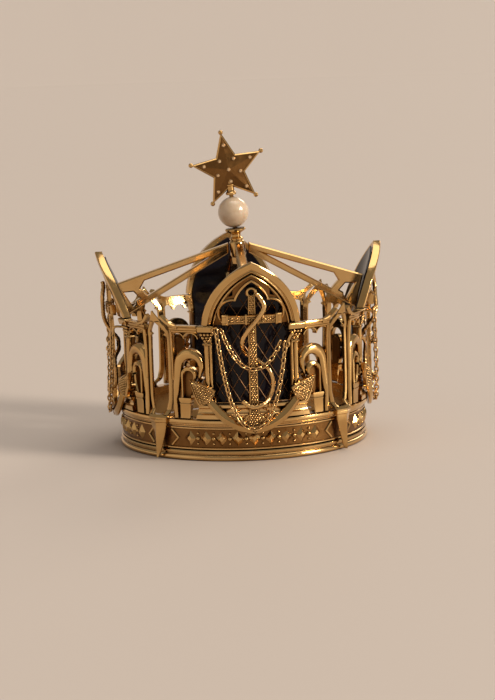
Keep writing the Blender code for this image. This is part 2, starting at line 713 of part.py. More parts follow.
def grille_mesh(side):
    """The openwork between a keel and a window: a cusped rail, a stile and a hooked, crozier-like arch.

    The distance u runs from the keel's middle towards the window, and side is the way that it points.
    """
    layers = ((rail_outline(), 0.2), (stile_outline(), 0.1), (hook_outline(), 0.5), (niche_outline(), -0.3))
    layers += ((niche_foot_outline(), 0.35),)
    solids = []
    for index, (outline, front) in enumerate(layers):
        back = GRILLE_BACK + index * 0.1 * MM
        loop = [(side * u, z) for u, z in outline]
        solids.append(plate([loop], back, front * MM - back))
    return wrapped(combined(solids))


def rail_outline():
    """The rail from the keel to the capital, with two scallops that meet in a cusp under it."""
    end = CORNER_S - CAPITAL_OUTER - SEAT_GAP
    start = KEEL_HALF_WIDTH + SEAT_GAP
    swell = (end - start) / 4
    scallops = []
    for middle in (end - swell, start + swell):
        scallop = arc((middle, 0.0), swell, 0.0, 180.0, 4)
        scallops += [(u, RAIL_Z - RAIL_CUSP + rise * RAIL_CUSP / swell) for u, rise in scallop]
    top = RAIL_Z + RAIL_HEIGHT
    return [(start, top), (end, top)] + scallops


def stile_outline():
    """The upright beside the keel's edge that ties the hooked arch to the rail."""
    inner = KEEL_HALF_WIDTH + SEAT_GAP
    outer = KEEL_HALF_WIDTH + HOOK_CLEARANCE * 1.5
    return [(inner, HOOK_Z - 6.0 * MM), (outer, HOOK_Z - 6.0 * MM), (outer, RAIL_Z), (inner, RAIL_Z)]


def hook_outline():
    """The hooked arch: it rises beside the keel, crosses over and curls in towards the niche."""
    shaft_u = CORNER_S - SHAFT_OUTER - SEAT_GAP
    middle = shaft_u - HOOK_RADIUS
    leg = middle - HOOK_RADIUS
    over = arc((middle, HOOK_Z), HOOK_RADIUS, 180.0, -38.0, 10)
    under = arc((middle + 0.8 * MM, HOOK_Z - 1.4 * MM), HOOK_RADIUS - 3.0 * MM, -20.0, 180.0, 8)
    curl = [(middle + 3.6 * MM, HOOK_Z - 6.2 * MM), (middle + 4.0 * MM, HOOK_Z - 4.6 * MM)]
    foot = [(leg + 1.6 * MM, HOOK_Z - 14.0 * MM), (leg + 1.8 * MM, SILL_Z)]
    return [(leg - 0.8 * MM, SILL_Z), (leg - 0.6 * MM, HOOK_Z - 8.0 * MM)] + over + curl + under + foot


def niche_middle():
    """Distance from the keel's middle to the middle of the niche under the hooked arch."""
    return CORNER_S - SILL_HALF_WIDTH - SILL_SLANT - NICHE_SETBACK


def niche_outline():
    """The small round-headed plate under the hooked arch."""
    middle = niche_middle()
    head = arc((middle, HOOK_Z - 5.0 * MM), NICHE_HALF_WIDTH, 180.0, -20.0, 6)
    base_z = SILL_Z + 4.0 * MM
    return head + [(middle + 2.6 * MM, HOOK_Z - 9.0 * MM), (middle + 1.6 * MM, base_z), (middle - 3.8 * MM, base_z)]


def niche_foot_outline():
    """The block that the niche stands on."""
    middle = niche_middle()
    leg = CORNER_S - SHAFT_OUTER - SEAT_GAP - 2 * HOOK_RADIUS
    top = SILL_Z + 8.4 * MM
    return [(leg + 0.4 * MM, top), (middle + 1.2 * MM, top), (middle, SILL_Z), (leg + 0.6 * MM, SILL_Z)]


# ---------------------------------------------------------------- ribs

def rib_mesh():
    """A triangular openwork bracket from a window's back up to the hub, drawn in radius and height."""
    reach = WALL_BACK - SEAT_GAP
    seat = [(wall_radius(z) + reach, z) for z in (RIB_BOTTOM_Z, (RIB_BOTTOM_Z + RIB_TOP_Z) / 2, RIB_TOP_Z)]
    hub_top = HUB_Z + HUB_HEIGHT * 0.48
    hub_bottom = HUB_Z + HUB_HEIGHT * 0.12
    outline = seat + [(RIB_HUB_RADIUS, hub_top), (RIB_HUB_RADIUS, hub_bottom)]
    inner_foot = wall_radius(RIB_BOTTOM_Z) + reach - RIB_BAR
    inner_head = wall_radius(RIB_TOP_Z) + reach - RIB_BAR
    small = [
        (inner_foot - 0.3 * MM, RIB_BOTTOM_Z + 4.0 * MM),
        (inner_head - 0.3 * MM, RIB_TOP_Z - 3.6 * MM),
        (inner_head - 4.2 * MM, RIB_TOP_Z - 3.4 * MM),
        (inner_foot - 3.6 * MM, RIB_BOTTOM_Z + 7.0 * MM),
    ]
    point = RIB_HUB_RADIUS + RIB_SLOT_END
    long = [
        (inner_foot - 6.6 * MM, RIB_BOTTOM_Z + 8.5 * MM),
        (inner_head - 7.2 * MM, RIB_TOP_Z - 2.0 * MM),
        (inner_head - 9.0 * MM, top_edge_z(inner_head - 9.0 * MM, hub_top) - RIB_SLOT_BAR),
        (point, top_edge_z(point, hub_top) - RIB_SLOT_BAR),
    ]
    mesh = plate([outline, small, long], -RIB_THICKNESS / 2, RIB_THICKNESS)
    obj = work_object(mesh)
    bevel = obj.modifiers.new("edges", "BEVEL")
    bevel.width = RIB_CHAMFER
    bevel.segments = 1
    bevel.limit_method = "WEIGHT"
    weights = mesh.attributes.new("bevel_weight_edge", "FLOAT", "EDGE")
    for edge in mesh.edges:
        ends = [mesh.vertices[i].co for i in edge.vertices]
        slanted = all(abs(end.z - top_edge_z(end.x, hub_top)) < 0.05 * MM for end in ends)
        level = abs(ends[0].y - ends[1].y) < 0.01 * MM
        if slanted and level:
            weights.data[edge.index].value = 1.0
    return baked(obj)


def top_edge_z(radius, hub_top):
    """Height of a rib's upper edge at a radius."""
    far = wall_radius(RIB_TOP_Z) + WALL_BACK - SEAT_GAP
    share = (radius - RIB_HUB_RADIUS) / (far - RIB_HUB_RADIUS)
    return hub_top + (RIB_TOP_Z - hub_top) * share


# ---------------------------------------------------------------- finial

def add_finial():
    """Add the hub, nut, pin, pearl and star, on an axis that leans a little to the left."""
    lean = Matrix.Translation((0.0, 0.0, HUB_Z)) @ Matrix.Rotation(math.radians(-FINIAL_LEAN_DEG), 4, "Y")
    axis = add_empty("finial_axis", lean)
    bore = PIN_RADIUS + SEAT_GAP
    neck = HUB_RADIUS * 0.6
    hub_profile = [
        (bore, HUB_HEIGHT),
        (HUB_RADIUS * 1.25, HUB_HEIGHT),
        (HUB_RADIUS * 1.25, HUB_HEIGHT * 0.92),
        (neck, HUB_HEIGHT * 0.80),
        (neck, HUB_HEIGHT * 0.68),
        (HUB_RADIUS, HUB_HEIGHT * 0.54),
        (HUB_RADIUS, HUB_HEIGHT * 0.06),
        (HUB_RADIUS * 0.8, 0.0),
        (bore, 0.0),
    ]
    add_piece("hub", turned(hub_profile, TURN_STEPS), "polished_gold", parent=axis)
    nut_top = -SEAT_GAP
    nut_profile = [(bore, nut_top), (NUT_RADIUS, nut_top), (NUT_RADIUS, nut_top - NUT_HEIGHT), (bore, nut_top - NUT_HEIGHT)]
    add_piece("hub_nut", turned(nut_profile, 6), "polished_gold", parent=axis)
    pearl_start = math.degrees(math.acos(bore / PEARL_RADIUS))
    flat = PEARL_RADIUS * math.sin(math.radians(pearl_start))
    pearl_z = HUB_HEIGHT + SEAT_GAP + flat
    pearl_profile = arc((0.0, pearl_z), PEARL_RADIUS, pearl_start, -pearl_start, 10)
    add_piece("pearl", turned(pearl_profile, TURN_STEPS), "pearl", parent=axis)
    star_z = STAR_CENTRE_Z - HUB_Z
    socket_z = pearl_z + flat + SEAT_GAP
    pin_top = star_z - STAR_WAIST_RADIUS * 0.3
    pin_foot = -NUT_HEIGHT - 2 * MM
    pin_profile = [(0.0, pin_top), (PIN_RADIUS, pin_top), (PIN_RADIUS, pin_foot), (0.0, pin_foot)]
    add_piece("star_pin", turned(pin_profile, 12), "polished_gold", parent=axis)
    add_piece("star", star_mesh(star_z, socket_z, pin_top), "satin_gold", parent=axis)


def star_mesh(star_z, socket_z, pin_top):
    """A five-pointed star, ridged on both faces, with beads on its tips and a socket for the pin."""
    edit = bmesh.new()
    made = bmesh.ops.create_circle(edit, cap_ends=True, cap_tris=True, segments=10, radius=STAR_RADIUS)
    rim = [v for v in made["verts"] if v.co.length > STAR_RADIUS / 2]
    rim.sort(key=lambda v: math.atan2(v.co.y, v.co.x))
    phase = round(math.degrees(math.atan2(rim[0].co.y, rim[0].co.x)) / 36.0)
    for index, vertex in enumerate(rim):
        if (index + phase) % 2:
            vertex.co *= STAR_WAIST_RADIUS / STAR_RADIUS
    for vertex in made["verts"]:
        vertex.co.z = STAR_RIM_HALF
    for vertex in set(made["verts"]) - set(rim):
        vertex.co.z = STAR_PEAK_HALF
    border = [e for e in edit.edges if e.is_boundary]
    wall = bmesh.ops.extrude_edge_only(edit, edges=border)
    for vertex in [g for g in wall["geom"] if isinstance(g, bmesh.types.BMVert)]:
        vertex.co.z = 0.0
    mesh = bpy.data.meshes.new("star")
    edit.to_mesh(mesh)
    edit.free()
    obj = work_object(mesh)
    mirror = obj.modifiers.new("back", "MIRROR")
    mirror.use_axis = (False, False, True)
    mirror.merge_threshold = 0.001 * MM
    body = baked(obj)
    tip_angle = tip_direction(body)
    upright = Matrix.Rotation(math.radians(90), 4, "X") @ Matrix.Rotation(math.radians(90) - tip_angle, 4, "Z")
    tilt = Matrix.Rotation(math.radians(-STAR_TURN_DEG), 4, "Y")
    place = Matrix.Translation((0.0, 0.0, star_z)) @ tilt
    body.transform(place @ upright)
    solids = [body]
    for point in range(5):
        angle = math.radians(90 + 72 * point)
        spot = place @ Vector((STAR_RADIUS * math.cos(angle), 0.0, STAR_RADIUS * math.sin(angle)))
        solids.append(ball(spot, STAR_BEAD_RADIUS))
    socket_radius = PIN_RADIUS + SEAT_GAP + 0.8 * MM
    socket_top = star_z - STAR_WAIST_RADIUS * 0.1
    socket = [(0.0, socket_top), (socket_radius, socket_top), (socket_radius, socket_z), (0.0, socket_z)]
    solids.append(turned(socket, 8))
    bore = PIN_RADIUS + SEAT_GAP
    bore_top = pin_top + SEAT_GAP
    hole = [(0.0, bore_top), (bore, bore_top), (bore, socket_z - 1 * MM), (0.0, socket_z - 1 * MM)]
    return combined([combined(solids), turned(hole, 8)], "DIFFERENCE")


def tip_direction(mesh):
    """Angle in the star's own plane at which one of its tips lies."""
    tip = max(mesh.vertices, key=lambda v: v.co.x ** 2 + v.co.y ** 2)
    return math.atan2(tip.co.y, tip.co.x)


def ball(centre, radius):
    """A small sphere."""
    edit = bmesh.new()
    bmesh.ops.create_uvsphere(edit, u_segments=6, v_segments=4, radius=radius)
    bmesh.ops.translate(edit, verts=edit.verts, vec=centre)
    mesh = bpy.data.meshes.new("ball")
    edit.to_mesh(mesh)
    edit.free()
    return mesh


# ---------------------------------------------------------------- assembly

def add_windows():
    """Add the four windows, each with its sill, frame, tracery, backing, anchor and chains."""
    shapes = (
        ("sill", sill_mesh(), "polished_gold"),
        ("arch_frame", frame_mesh(), "polished_gold"),
        ("trefoil_tracery", tracery_mesh(), "polished_gold"),
        ("window_backing", backing_mesh(), "dark_enamel"),
        ("anchor", anchor_mesh(), "satin_gold"),
        ("anchor_stock", stock_mesh(), "polished_gold"),
        ("anchor_rope", rope_mesh(), "polished_gold"),
    )
    rib = rib_mesh()
    for window, turn in WINDOWS:
        for name, mesh, finish in shapes:
            add_piece(f"{name}_{window}", mesh, finish, turn)
        add_chain(f"short_chain_{window}", CHAIN_INBOARD, SHORT_CHAIN_LENGTH, SHORT_CHAIN_LEAN_DEG, 16, turn)
        add_chain(f"long_chain_{window}", 0.0, LONG_CHAIN_LENGTH, LONG_CHAIN_LEAN_DEG, 24, turn)
        add_piece(f"rib_{window}", rib, "polished_gold", turn - 90)


def add_corners():
    """Add the four keels, and a grille on each side of every keel."""
    keel = keel_mesh()
    grilles = (("a", grille_mesh(-1.0)), ("b", grille_mesh(1.0)))
    for corner, turn in CORNERS:
        add_piece(f"keel_{corner}", keel, "polished_gold", turn)
        for letter, mesh in grilles:
            add_piece(f"grille_{corner}_{letter}", mesh, "polished_gold", turn)


clear_scene()
CROWN = new_collection("gothic_crown")
WORK = new_collection("work")
add_hoop()
add_windows()
add_corners()
add_finial()
bpy.data.collections.remove(WORK)
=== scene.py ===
"""Looks of a small Gothic arcade crown in cast and polished gold, with a pearl and a turning star.

Each class below is one sub-assembly of the crown. Sizes are in millimetres, and a wall piece is drawn flat as
(s, n, z): s runs along the wall, n points out of it and z is its height. The wall then wraps it round.
"""

import json
import logging
import math
from collections.abc import Callable, Sequence
from dataclasses import dataclass, field
from enum import Enum

import bmesh
import bpy
from mathutils import Matrix, Quaternion, Vector

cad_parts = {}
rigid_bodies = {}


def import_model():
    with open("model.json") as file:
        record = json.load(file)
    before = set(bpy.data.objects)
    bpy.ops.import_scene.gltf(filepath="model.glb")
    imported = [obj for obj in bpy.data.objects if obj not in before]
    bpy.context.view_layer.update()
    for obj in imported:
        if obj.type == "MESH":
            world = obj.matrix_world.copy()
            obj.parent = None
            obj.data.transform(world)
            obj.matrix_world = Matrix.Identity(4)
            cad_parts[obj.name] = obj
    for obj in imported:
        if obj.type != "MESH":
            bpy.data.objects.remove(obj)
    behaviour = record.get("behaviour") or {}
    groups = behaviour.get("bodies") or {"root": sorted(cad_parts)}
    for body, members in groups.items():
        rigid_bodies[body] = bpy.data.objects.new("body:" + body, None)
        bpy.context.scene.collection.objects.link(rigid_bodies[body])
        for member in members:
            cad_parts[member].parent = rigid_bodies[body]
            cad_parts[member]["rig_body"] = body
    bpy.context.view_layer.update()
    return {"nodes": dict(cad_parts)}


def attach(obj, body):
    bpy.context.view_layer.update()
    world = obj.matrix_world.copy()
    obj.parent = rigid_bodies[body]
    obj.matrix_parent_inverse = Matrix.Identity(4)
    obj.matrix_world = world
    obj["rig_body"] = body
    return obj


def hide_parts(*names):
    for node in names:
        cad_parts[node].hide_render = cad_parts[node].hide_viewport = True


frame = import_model()

LOG = logging.getLogger("crown")
MM = 0.001

Flat = tuple[float, float]
Placing = Callable[[Vector], Vector]


# ---------------------------------------------------------------- colour and nodes

def linear(code: str) -> tuple[float, float, float, float]:
    """Turn an sRGB hex colour into Blender's linear one.

    Args:
        code: Six hex digits after a hash.

    Returns:
        Red, green, blue and an alpha of 1.
    """
    channels = [int(code[i:i + 2], 16) / 255 for i in (1, 3, 5)]
    straight = [c / 12.92 if c <= 0.04045 else ((c + 0.055) / 1.055) ** 2.4 for c in channels]
    return (straight[0], straight[1], straight[2], 1.0)


def add_node(tree: bpy.types.NodeTree, kind: str, inputs: dict | None = None, **settings) -> bpy.types.Node:
    """Add a node with its settings, its input values and its links.

    Args:
        tree: The tree that gets the node.
        kind: The node's type.
        inputs: Values or output sockets by the input's name or number.
        settings: The node's own properties.

    Returns:
        The new node.
    """
    made = tree.nodes.new(kind)
    for key, value in settings.items():
        setattr(made, key, value)
    for key, value in (inputs or {}).items():
        if isinstance(value, bpy.types.NodeSocket):
            tree.links.new(value, made.inputs[key])
        else:
            made.inputs[key].default_value = value
    return made


def per_metre(millimetres: float) -> float:
    """Scale of a pattern on Object coordinates whose features are this many millimetres wide."""
    return 1000.0 / millimetres


class Surface(Enum):
    """How a gold surface was worked."""

    POLISHED = "buffed to a mirror over a cast skin"
    GRAINED = "beaded all over with a round punch"
    MATTED = "left with a fine sand-cast tooth"


@dataclass(frozen=True)
class GoldFinish:
    """Cast gold of one colour and one way of working, darkened in its crevices: partly patina where the
    polisher can't reach, partly painted shade.
    """

    name: str
    surface: Surface
    bright: str
    warm: str
    patina_and_painted_shade: str
    roughness: float
    relief_mm: float
    grain_mm: float
    patina_and_shade_reach_mm: float = 2.2

    def build(self) -> bpy.types.Material:
        """Build the finish's material."""
        made = bpy.data.materials.new(self.name)
        made.use_nodes = True
        tree = made.node_tree
        shader = tree.nodes["Principled BSDF"]
        place = add_node(tree, "ShaderNodeTexCoord").outputs["Object"]
        # Tone drifts from bright to warm over about 9 mm, as alloy does where it cooled slower
        drift = add_node(tree, "ShaderNodeTexNoise", {
            "Vector": place, "Scale": per_metre(9.0), "Detail": 3.0})
        tone = add_node(tree, "ShaderNodeMix", {
            0: drift.outputs["Fac"], 6: linear(self.bright), 7: linear(self.warm)}, data_type="RGBA")
        # Crevices narrower than the reach are darkened by an ambient occlusion mask: partly patina, partly
        # painted shade
        open_sky = add_node(tree, "ShaderNodeAmbientOcclusion", {"Distance": self.patina_and_shade_reach_mm * MM},
                            samples=6)
        unshaded = add_node(tree, "ShaderNodeMapRange", {
            "Value": open_sky.outputs["AO"], "From Min": 0.25, "From Max": 0.85})
        colour = add_node(tree, "ShaderNodeMix", {
            0: unshaded.outputs["Result"], 6: linear(self.patina_and_painted_shade), 7: tone.outputs[2]}, data_type="RGBA")
        smear = add_node(tree, "ShaderNodeTexNoise", {
            "Vector": place, "Scale": per_metre(2.4), "Detail": 5.0})
        gloss = add_node(tree, "ShaderNodeMapRange", {
            "Value": smear.outputs["Fac"], "From Min": 0.3, "From Max": 0.7,
            "To Min": self.roughness * 0.75, "To Max": self.roughness * 1.35})
        height = self.height(tree, place)
        bump = add_node(tree, "ShaderNodeBump", {
            "Strength": 1.0, "Distance": self.relief_mm * MM, "Height": height})
        for key, socket in (("Base Color", colour.outputs[2]), ("Roughness", gloss.outputs["Result"]),
                            ("Normal", bump.outputs["Normal"])):
            tree.links.new(socket, shader.inputs[key])
        shader.inputs["Metallic"].default_value = 1.0
        made.diffuse_color = linear(self.bright)
        return made

    def height(self, tree: bpy.types.NodeTree, place: bpy.types.NodeSocket) -> bpy.types.NodeSocket:
        """Add the surface's relief.

        Args:
            tree: The material's tree.
            place: The object coordinates.

        Returns:
            The socket that carries the height.
        """
        if self.surface is Surface.GRAINED:
            grains = add_node(tree, "ShaderNodeTexVoronoi", {
                "Vector": place, "Scale": per_metre(self.grain_mm), "Randomness": 0.7}, feature="F1")
            reach = grains.outputs["Distance"]
            fall = add_node(tree, "ShaderNodeMath", {0: reach, 1: reach}, operation="MULTIPLY")
            dome = add_node(tree, "ShaderNodeMath", {0: 1.0, 1: fall.outputs[0]}, operation="SUBTRACT")
            return dome.outputs[0]
        detail = 2.0 if self.surface is Surface.POLISHED else 6.0
        ripple = add_node(tree, "ShaderNodeTexNoise", {
            "Vector": place, "Scale": per_metre(self.grain_mm), "Detail": detail, "Roughness": 0.45})
        return ripple.outputs["Fac"]


# The darkest colour of each gold finish below is laid into its crevices, partly as patina and partly as
# painted shade
# Yellow gold, buffed: sharp reflections that wobble a little where the casting isn't dead flat
POLISHED_GOLD = GoldFinish("polished cast gold", Surface.POLISHED, "#DEBA7C", "#C2955A", "#2E1507", 0.14,
                           0.06, 2.4, 2.6)
# The hoop's mouldings and the ribs have long plain faces, which are the most evenly buffed
BURNISHED_GOLD = GoldFinish("burnished gold moulding", Surface.POLISHED, "#E3BF84", "#CBA064", "#3E1E0A",
                            0.13, 0.04, 4.0, 1.6)
# Punched ground: beads of 0.95 mm that each catch their own spark
GRAINED_GOLD = GoldFinish("bead-punched gold", Surface.GRAINED, "#E4BE80", "#C2935A", "#241004", 0.18, 0.42,
                          0.95)
# Sand-cast ground behind raised ornament, with a soft sheen. Its brown, far darker than the polished gold, is
# painted shade on the sunk grounds, and the painted shade in its hollows is darker still
MATTED_GOLD_PAINTED_SHADE = GoldFinish("matted gold ground with painted shade", Surface.MATTED, "#8E683C", "#6E4A26", "#1E0E05", 0.34, 0.08,
                         0.7)
# Drawn wire of links and rope: bright on top, with painted shade in brown where the wires cross
WIRE_GOLD = GoldFinish("drawn gold wire", Surface.POLISHED, "#E8C486", "#CFA066", "#341808", 0.18, 0.02, 1.2,
                       1.2)
# Cames of the pane: thin gold strip that has gone brown
TARNISHED_GOLD = GoldFinish("tarnished gold came", Surface.MATTED, "#76583C", "#5A4029", "#1E0D04", 0.38,
                            0.03, 0.9)


@dataclass(frozen=True)
class EnamelFinish:
    """Fired enamel: a nearly black blue glass, a little cloudy, with a hard gloss."""

    name: str = "blue-black enamel"
    deep: str = "#08070C"
    cloudy: str = "#120E16"
    roughness: float = 0.12
    cloud_mm: float = 5.0

    def build(self) -> bpy.types.Material:
        """Build the finish's material."""
        made = bpy.data.materials.new(self.name)
        made.use_nodes = True
        tree = made.node_tree
        shader = tree.nodes["Principled BSDF"]
        place = add_node(tree, "ShaderNodeTexCoord").outputs["Object"]
        cloud = add_node(tree, "ShaderNodeTexNoise", {"Vector": place, "Scale": per_metre(self.cloud_mm)})
        colour = add_node(tree, "ShaderNodeMix", {
            0: cloud.outputs["Fac"], 6: linear(self.deep), 7: linear(self.cloudy)}, data_type="RGBA")
        # Orange-peel waves of about 1.5 mm, left by firing
        peel = add_node(tree, "ShaderNodeTexNoise", {"Vector": place, "Scale": per_metre(1.5)})
        bump = add_node(tree, "ShaderNodeBump", {
            "Strength": 0.5, "Distance": 0.02 * MM, "Height": peel.outputs["Fac"]})
        tree.links.new(colour.outputs[2], shader.inputs["Base Color"])
        tree.links.new(bump.outputs["Normal"], shader.inputs["Normal"])
        shader.inputs["Roughness"].default_value = self.roughness
        shader.inputs["Specular IOR Level"].default_value = 0.22
        made.diffuse_color = linear(self.deep)
        return made


@dataclass(frozen=True)
class PearlFinish:
    """Nacre: a cream body under a clear lustre, with faint growth banding whose darker tone is painted shade.
    """

    name: str = "cream pearl nacre"
    light: str = "#DCCBB2"
    shade: str = "#BF9F7D"
    roughness: float = 0.28
    band_mm: float = 3.5

    def build(self) -> bpy.types.Material:
        """Build the finish's material."""
        made = bpy.data.materials.new(self.name)
        made.use_nodes = True
        tree = made.node_tree
        shader = tree.nodes["Principled BSDF"]
        place = add_node(tree, "ShaderNodeTexCoord").outputs["Object"]
        # The shade colour is painted shade, mixed in at random through the banding
        nacre_and_shade_bands = add_node(tree, "ShaderNodeTexNoise", {
            "Vector": place, "Scale": per_metre(self.band_mm), "Detail": 4.0, "Distortion": 1.2})
        colour = add_node(tree, "ShaderNodeMix", {
            0: nacre_and_shade_bands.outputs["Fac"], 6: linear(self.light), 7: linear(self.shade)}, data_type="RGBA")
        # Nacre platelets show as a very fine ripple of about 0.4 mm
        ripple = add_node(tree, "ShaderNodeTexNoise", {"Vector": place, "Scale": per_metre(0.4)})
        bump = add_node(tree, "ShaderNodeBump", {
            "Strength": 0.4, "Distance": 0.01 * MM, "Height": ripple.outputs["Fac"]})
        tree.links.new(colour.outputs[2], shader.inputs["Base Color"])
        tree.links.new(bump.outputs["Normal"], shader.inputs["Normal"])
        for key, value in (("Roughness", self.roughness), ("Coat Weight", 0.7), ("Coat Roughness", 0.08),
                           ("Subsurface Weight", 0.12), ("Subsurface Scale", 0.001)):
            shader.inputs[key].default_value = value
        made.diffuse_color = linear(self.light)
        return made


@dataclass(frozen=True)
class StoneFinish:
    """Small cut stones the colour of pale sherry, polished flat by flat."""

    name: str = "pale topaz"
    light: str = "#F3DDB4"
    shade: str = "#B9813F"
    roughness: float = 0.04

    def build(self) -> bpy.types.Material:
        """Build the finish's material."""
        made = bpy.data.materials.new(self.name)
        made.use_nodes = True
        tree = made.node_tree
        shader = tree.nodes["Principled BSDF"]
        place = add_node(tree, "ShaderNodeTexCoord").outputs["Object"]
        zone = add_node(tree, "ShaderNodeTexNoise", {"Vector": place, "Scale": per_metre(1.0)})
        colour = add_node(tree, "ShaderNodeMix", {
            0: zone.outputs["Fac"], 6: linear(self.light), 7: linear(self.shade)}, data_type="RGBA")
        tree.links.new(colour.outputs[2], shader.inputs["Base Color"])
        for key, value in (("Roughness", self.roughness), ("Coat Weight", 1.0), ("Metallic", 0.35)):
            shader.inputs[key].default_value = value
        made.diffuse_color = linear(self.light)
        return made


Finish = GoldFinish | EnamelFinish | PearlFinish | StoneFinish


# ---------------------------------------------------------------- drawing

def arc(centre: Flat, radius: float, start_deg: float, end_deg: float, steps: int) -> list[Flat]:
    """Points along a circle's arc, both ends included."""
    angles = [math.radians(start_deg + (end_deg - start_deg) * i / steps) for i in range(steps + 1)]
    return [(centre[0] + radius * math.cos(a), centre[1] + radius * math.sin(a)) for a in angles]


def mirrored(points: Sequence[Flat]) -> list[Flat]:
    """The same points on the other side of s = 0, in reverse order."""
    return [(-s, z) for s, z in reversed(points)]


def smooth(points: Sequence[Sequence[float]], steps: int) -> list[tuple[float, ...]]:
    """Points on a Catmull-Rom curve.

    Args:
        points: What the curve passes through.
        steps: How many pieces each span gets.

    Returns:
        The curve's points, both ends included.
    """
    known = [Vector(p) for p in points]
    padded = [2 * known[0] - known[1]] + known + [2 * known[-1] - known[-2]]
    path = []
    for a, b, c, d in zip(padded, padded[1:], padded[2:], padded[3:]):
        for i in range(steps):
            t = i / steps
            spot = (2 * b + (c - a) * t + (2 * a - 5 * b + 4 * c - d) * t ** 2
                    + (3 * b - a - 3 * c + d) * t ** 3)
            path.append(tuple(spot / 2))
    return path + [tuple(known[-1])]


def even(points: Sequence[Sequence[float]], count: int) -> list[tuple[float, ...]]:
    """Points spaced evenly along a path.

    Args:
        points: The path's corners.
        count: How many spans the result has.

    Returns:
        One point more than there are spans.
    """
    known = [Vector(p) for p in points]
    reach = [0.0]
    for a, b in zip(known, known[1:]):
        reach.append(reach[-1] + (b - a).length)
    result, index = [], 0
    for step in range(count + 1):
        target = reach[-1] * step / count
        while index < len(known) - 2 and reach[index + 1] < target:
            index += 1
        span = max(reach[index + 1] - reach[index], 1e-9)
        result.append(tuple(known[index].lerp(known[index + 1], min((target - reach[index]) / span, 1.0))))
    return result


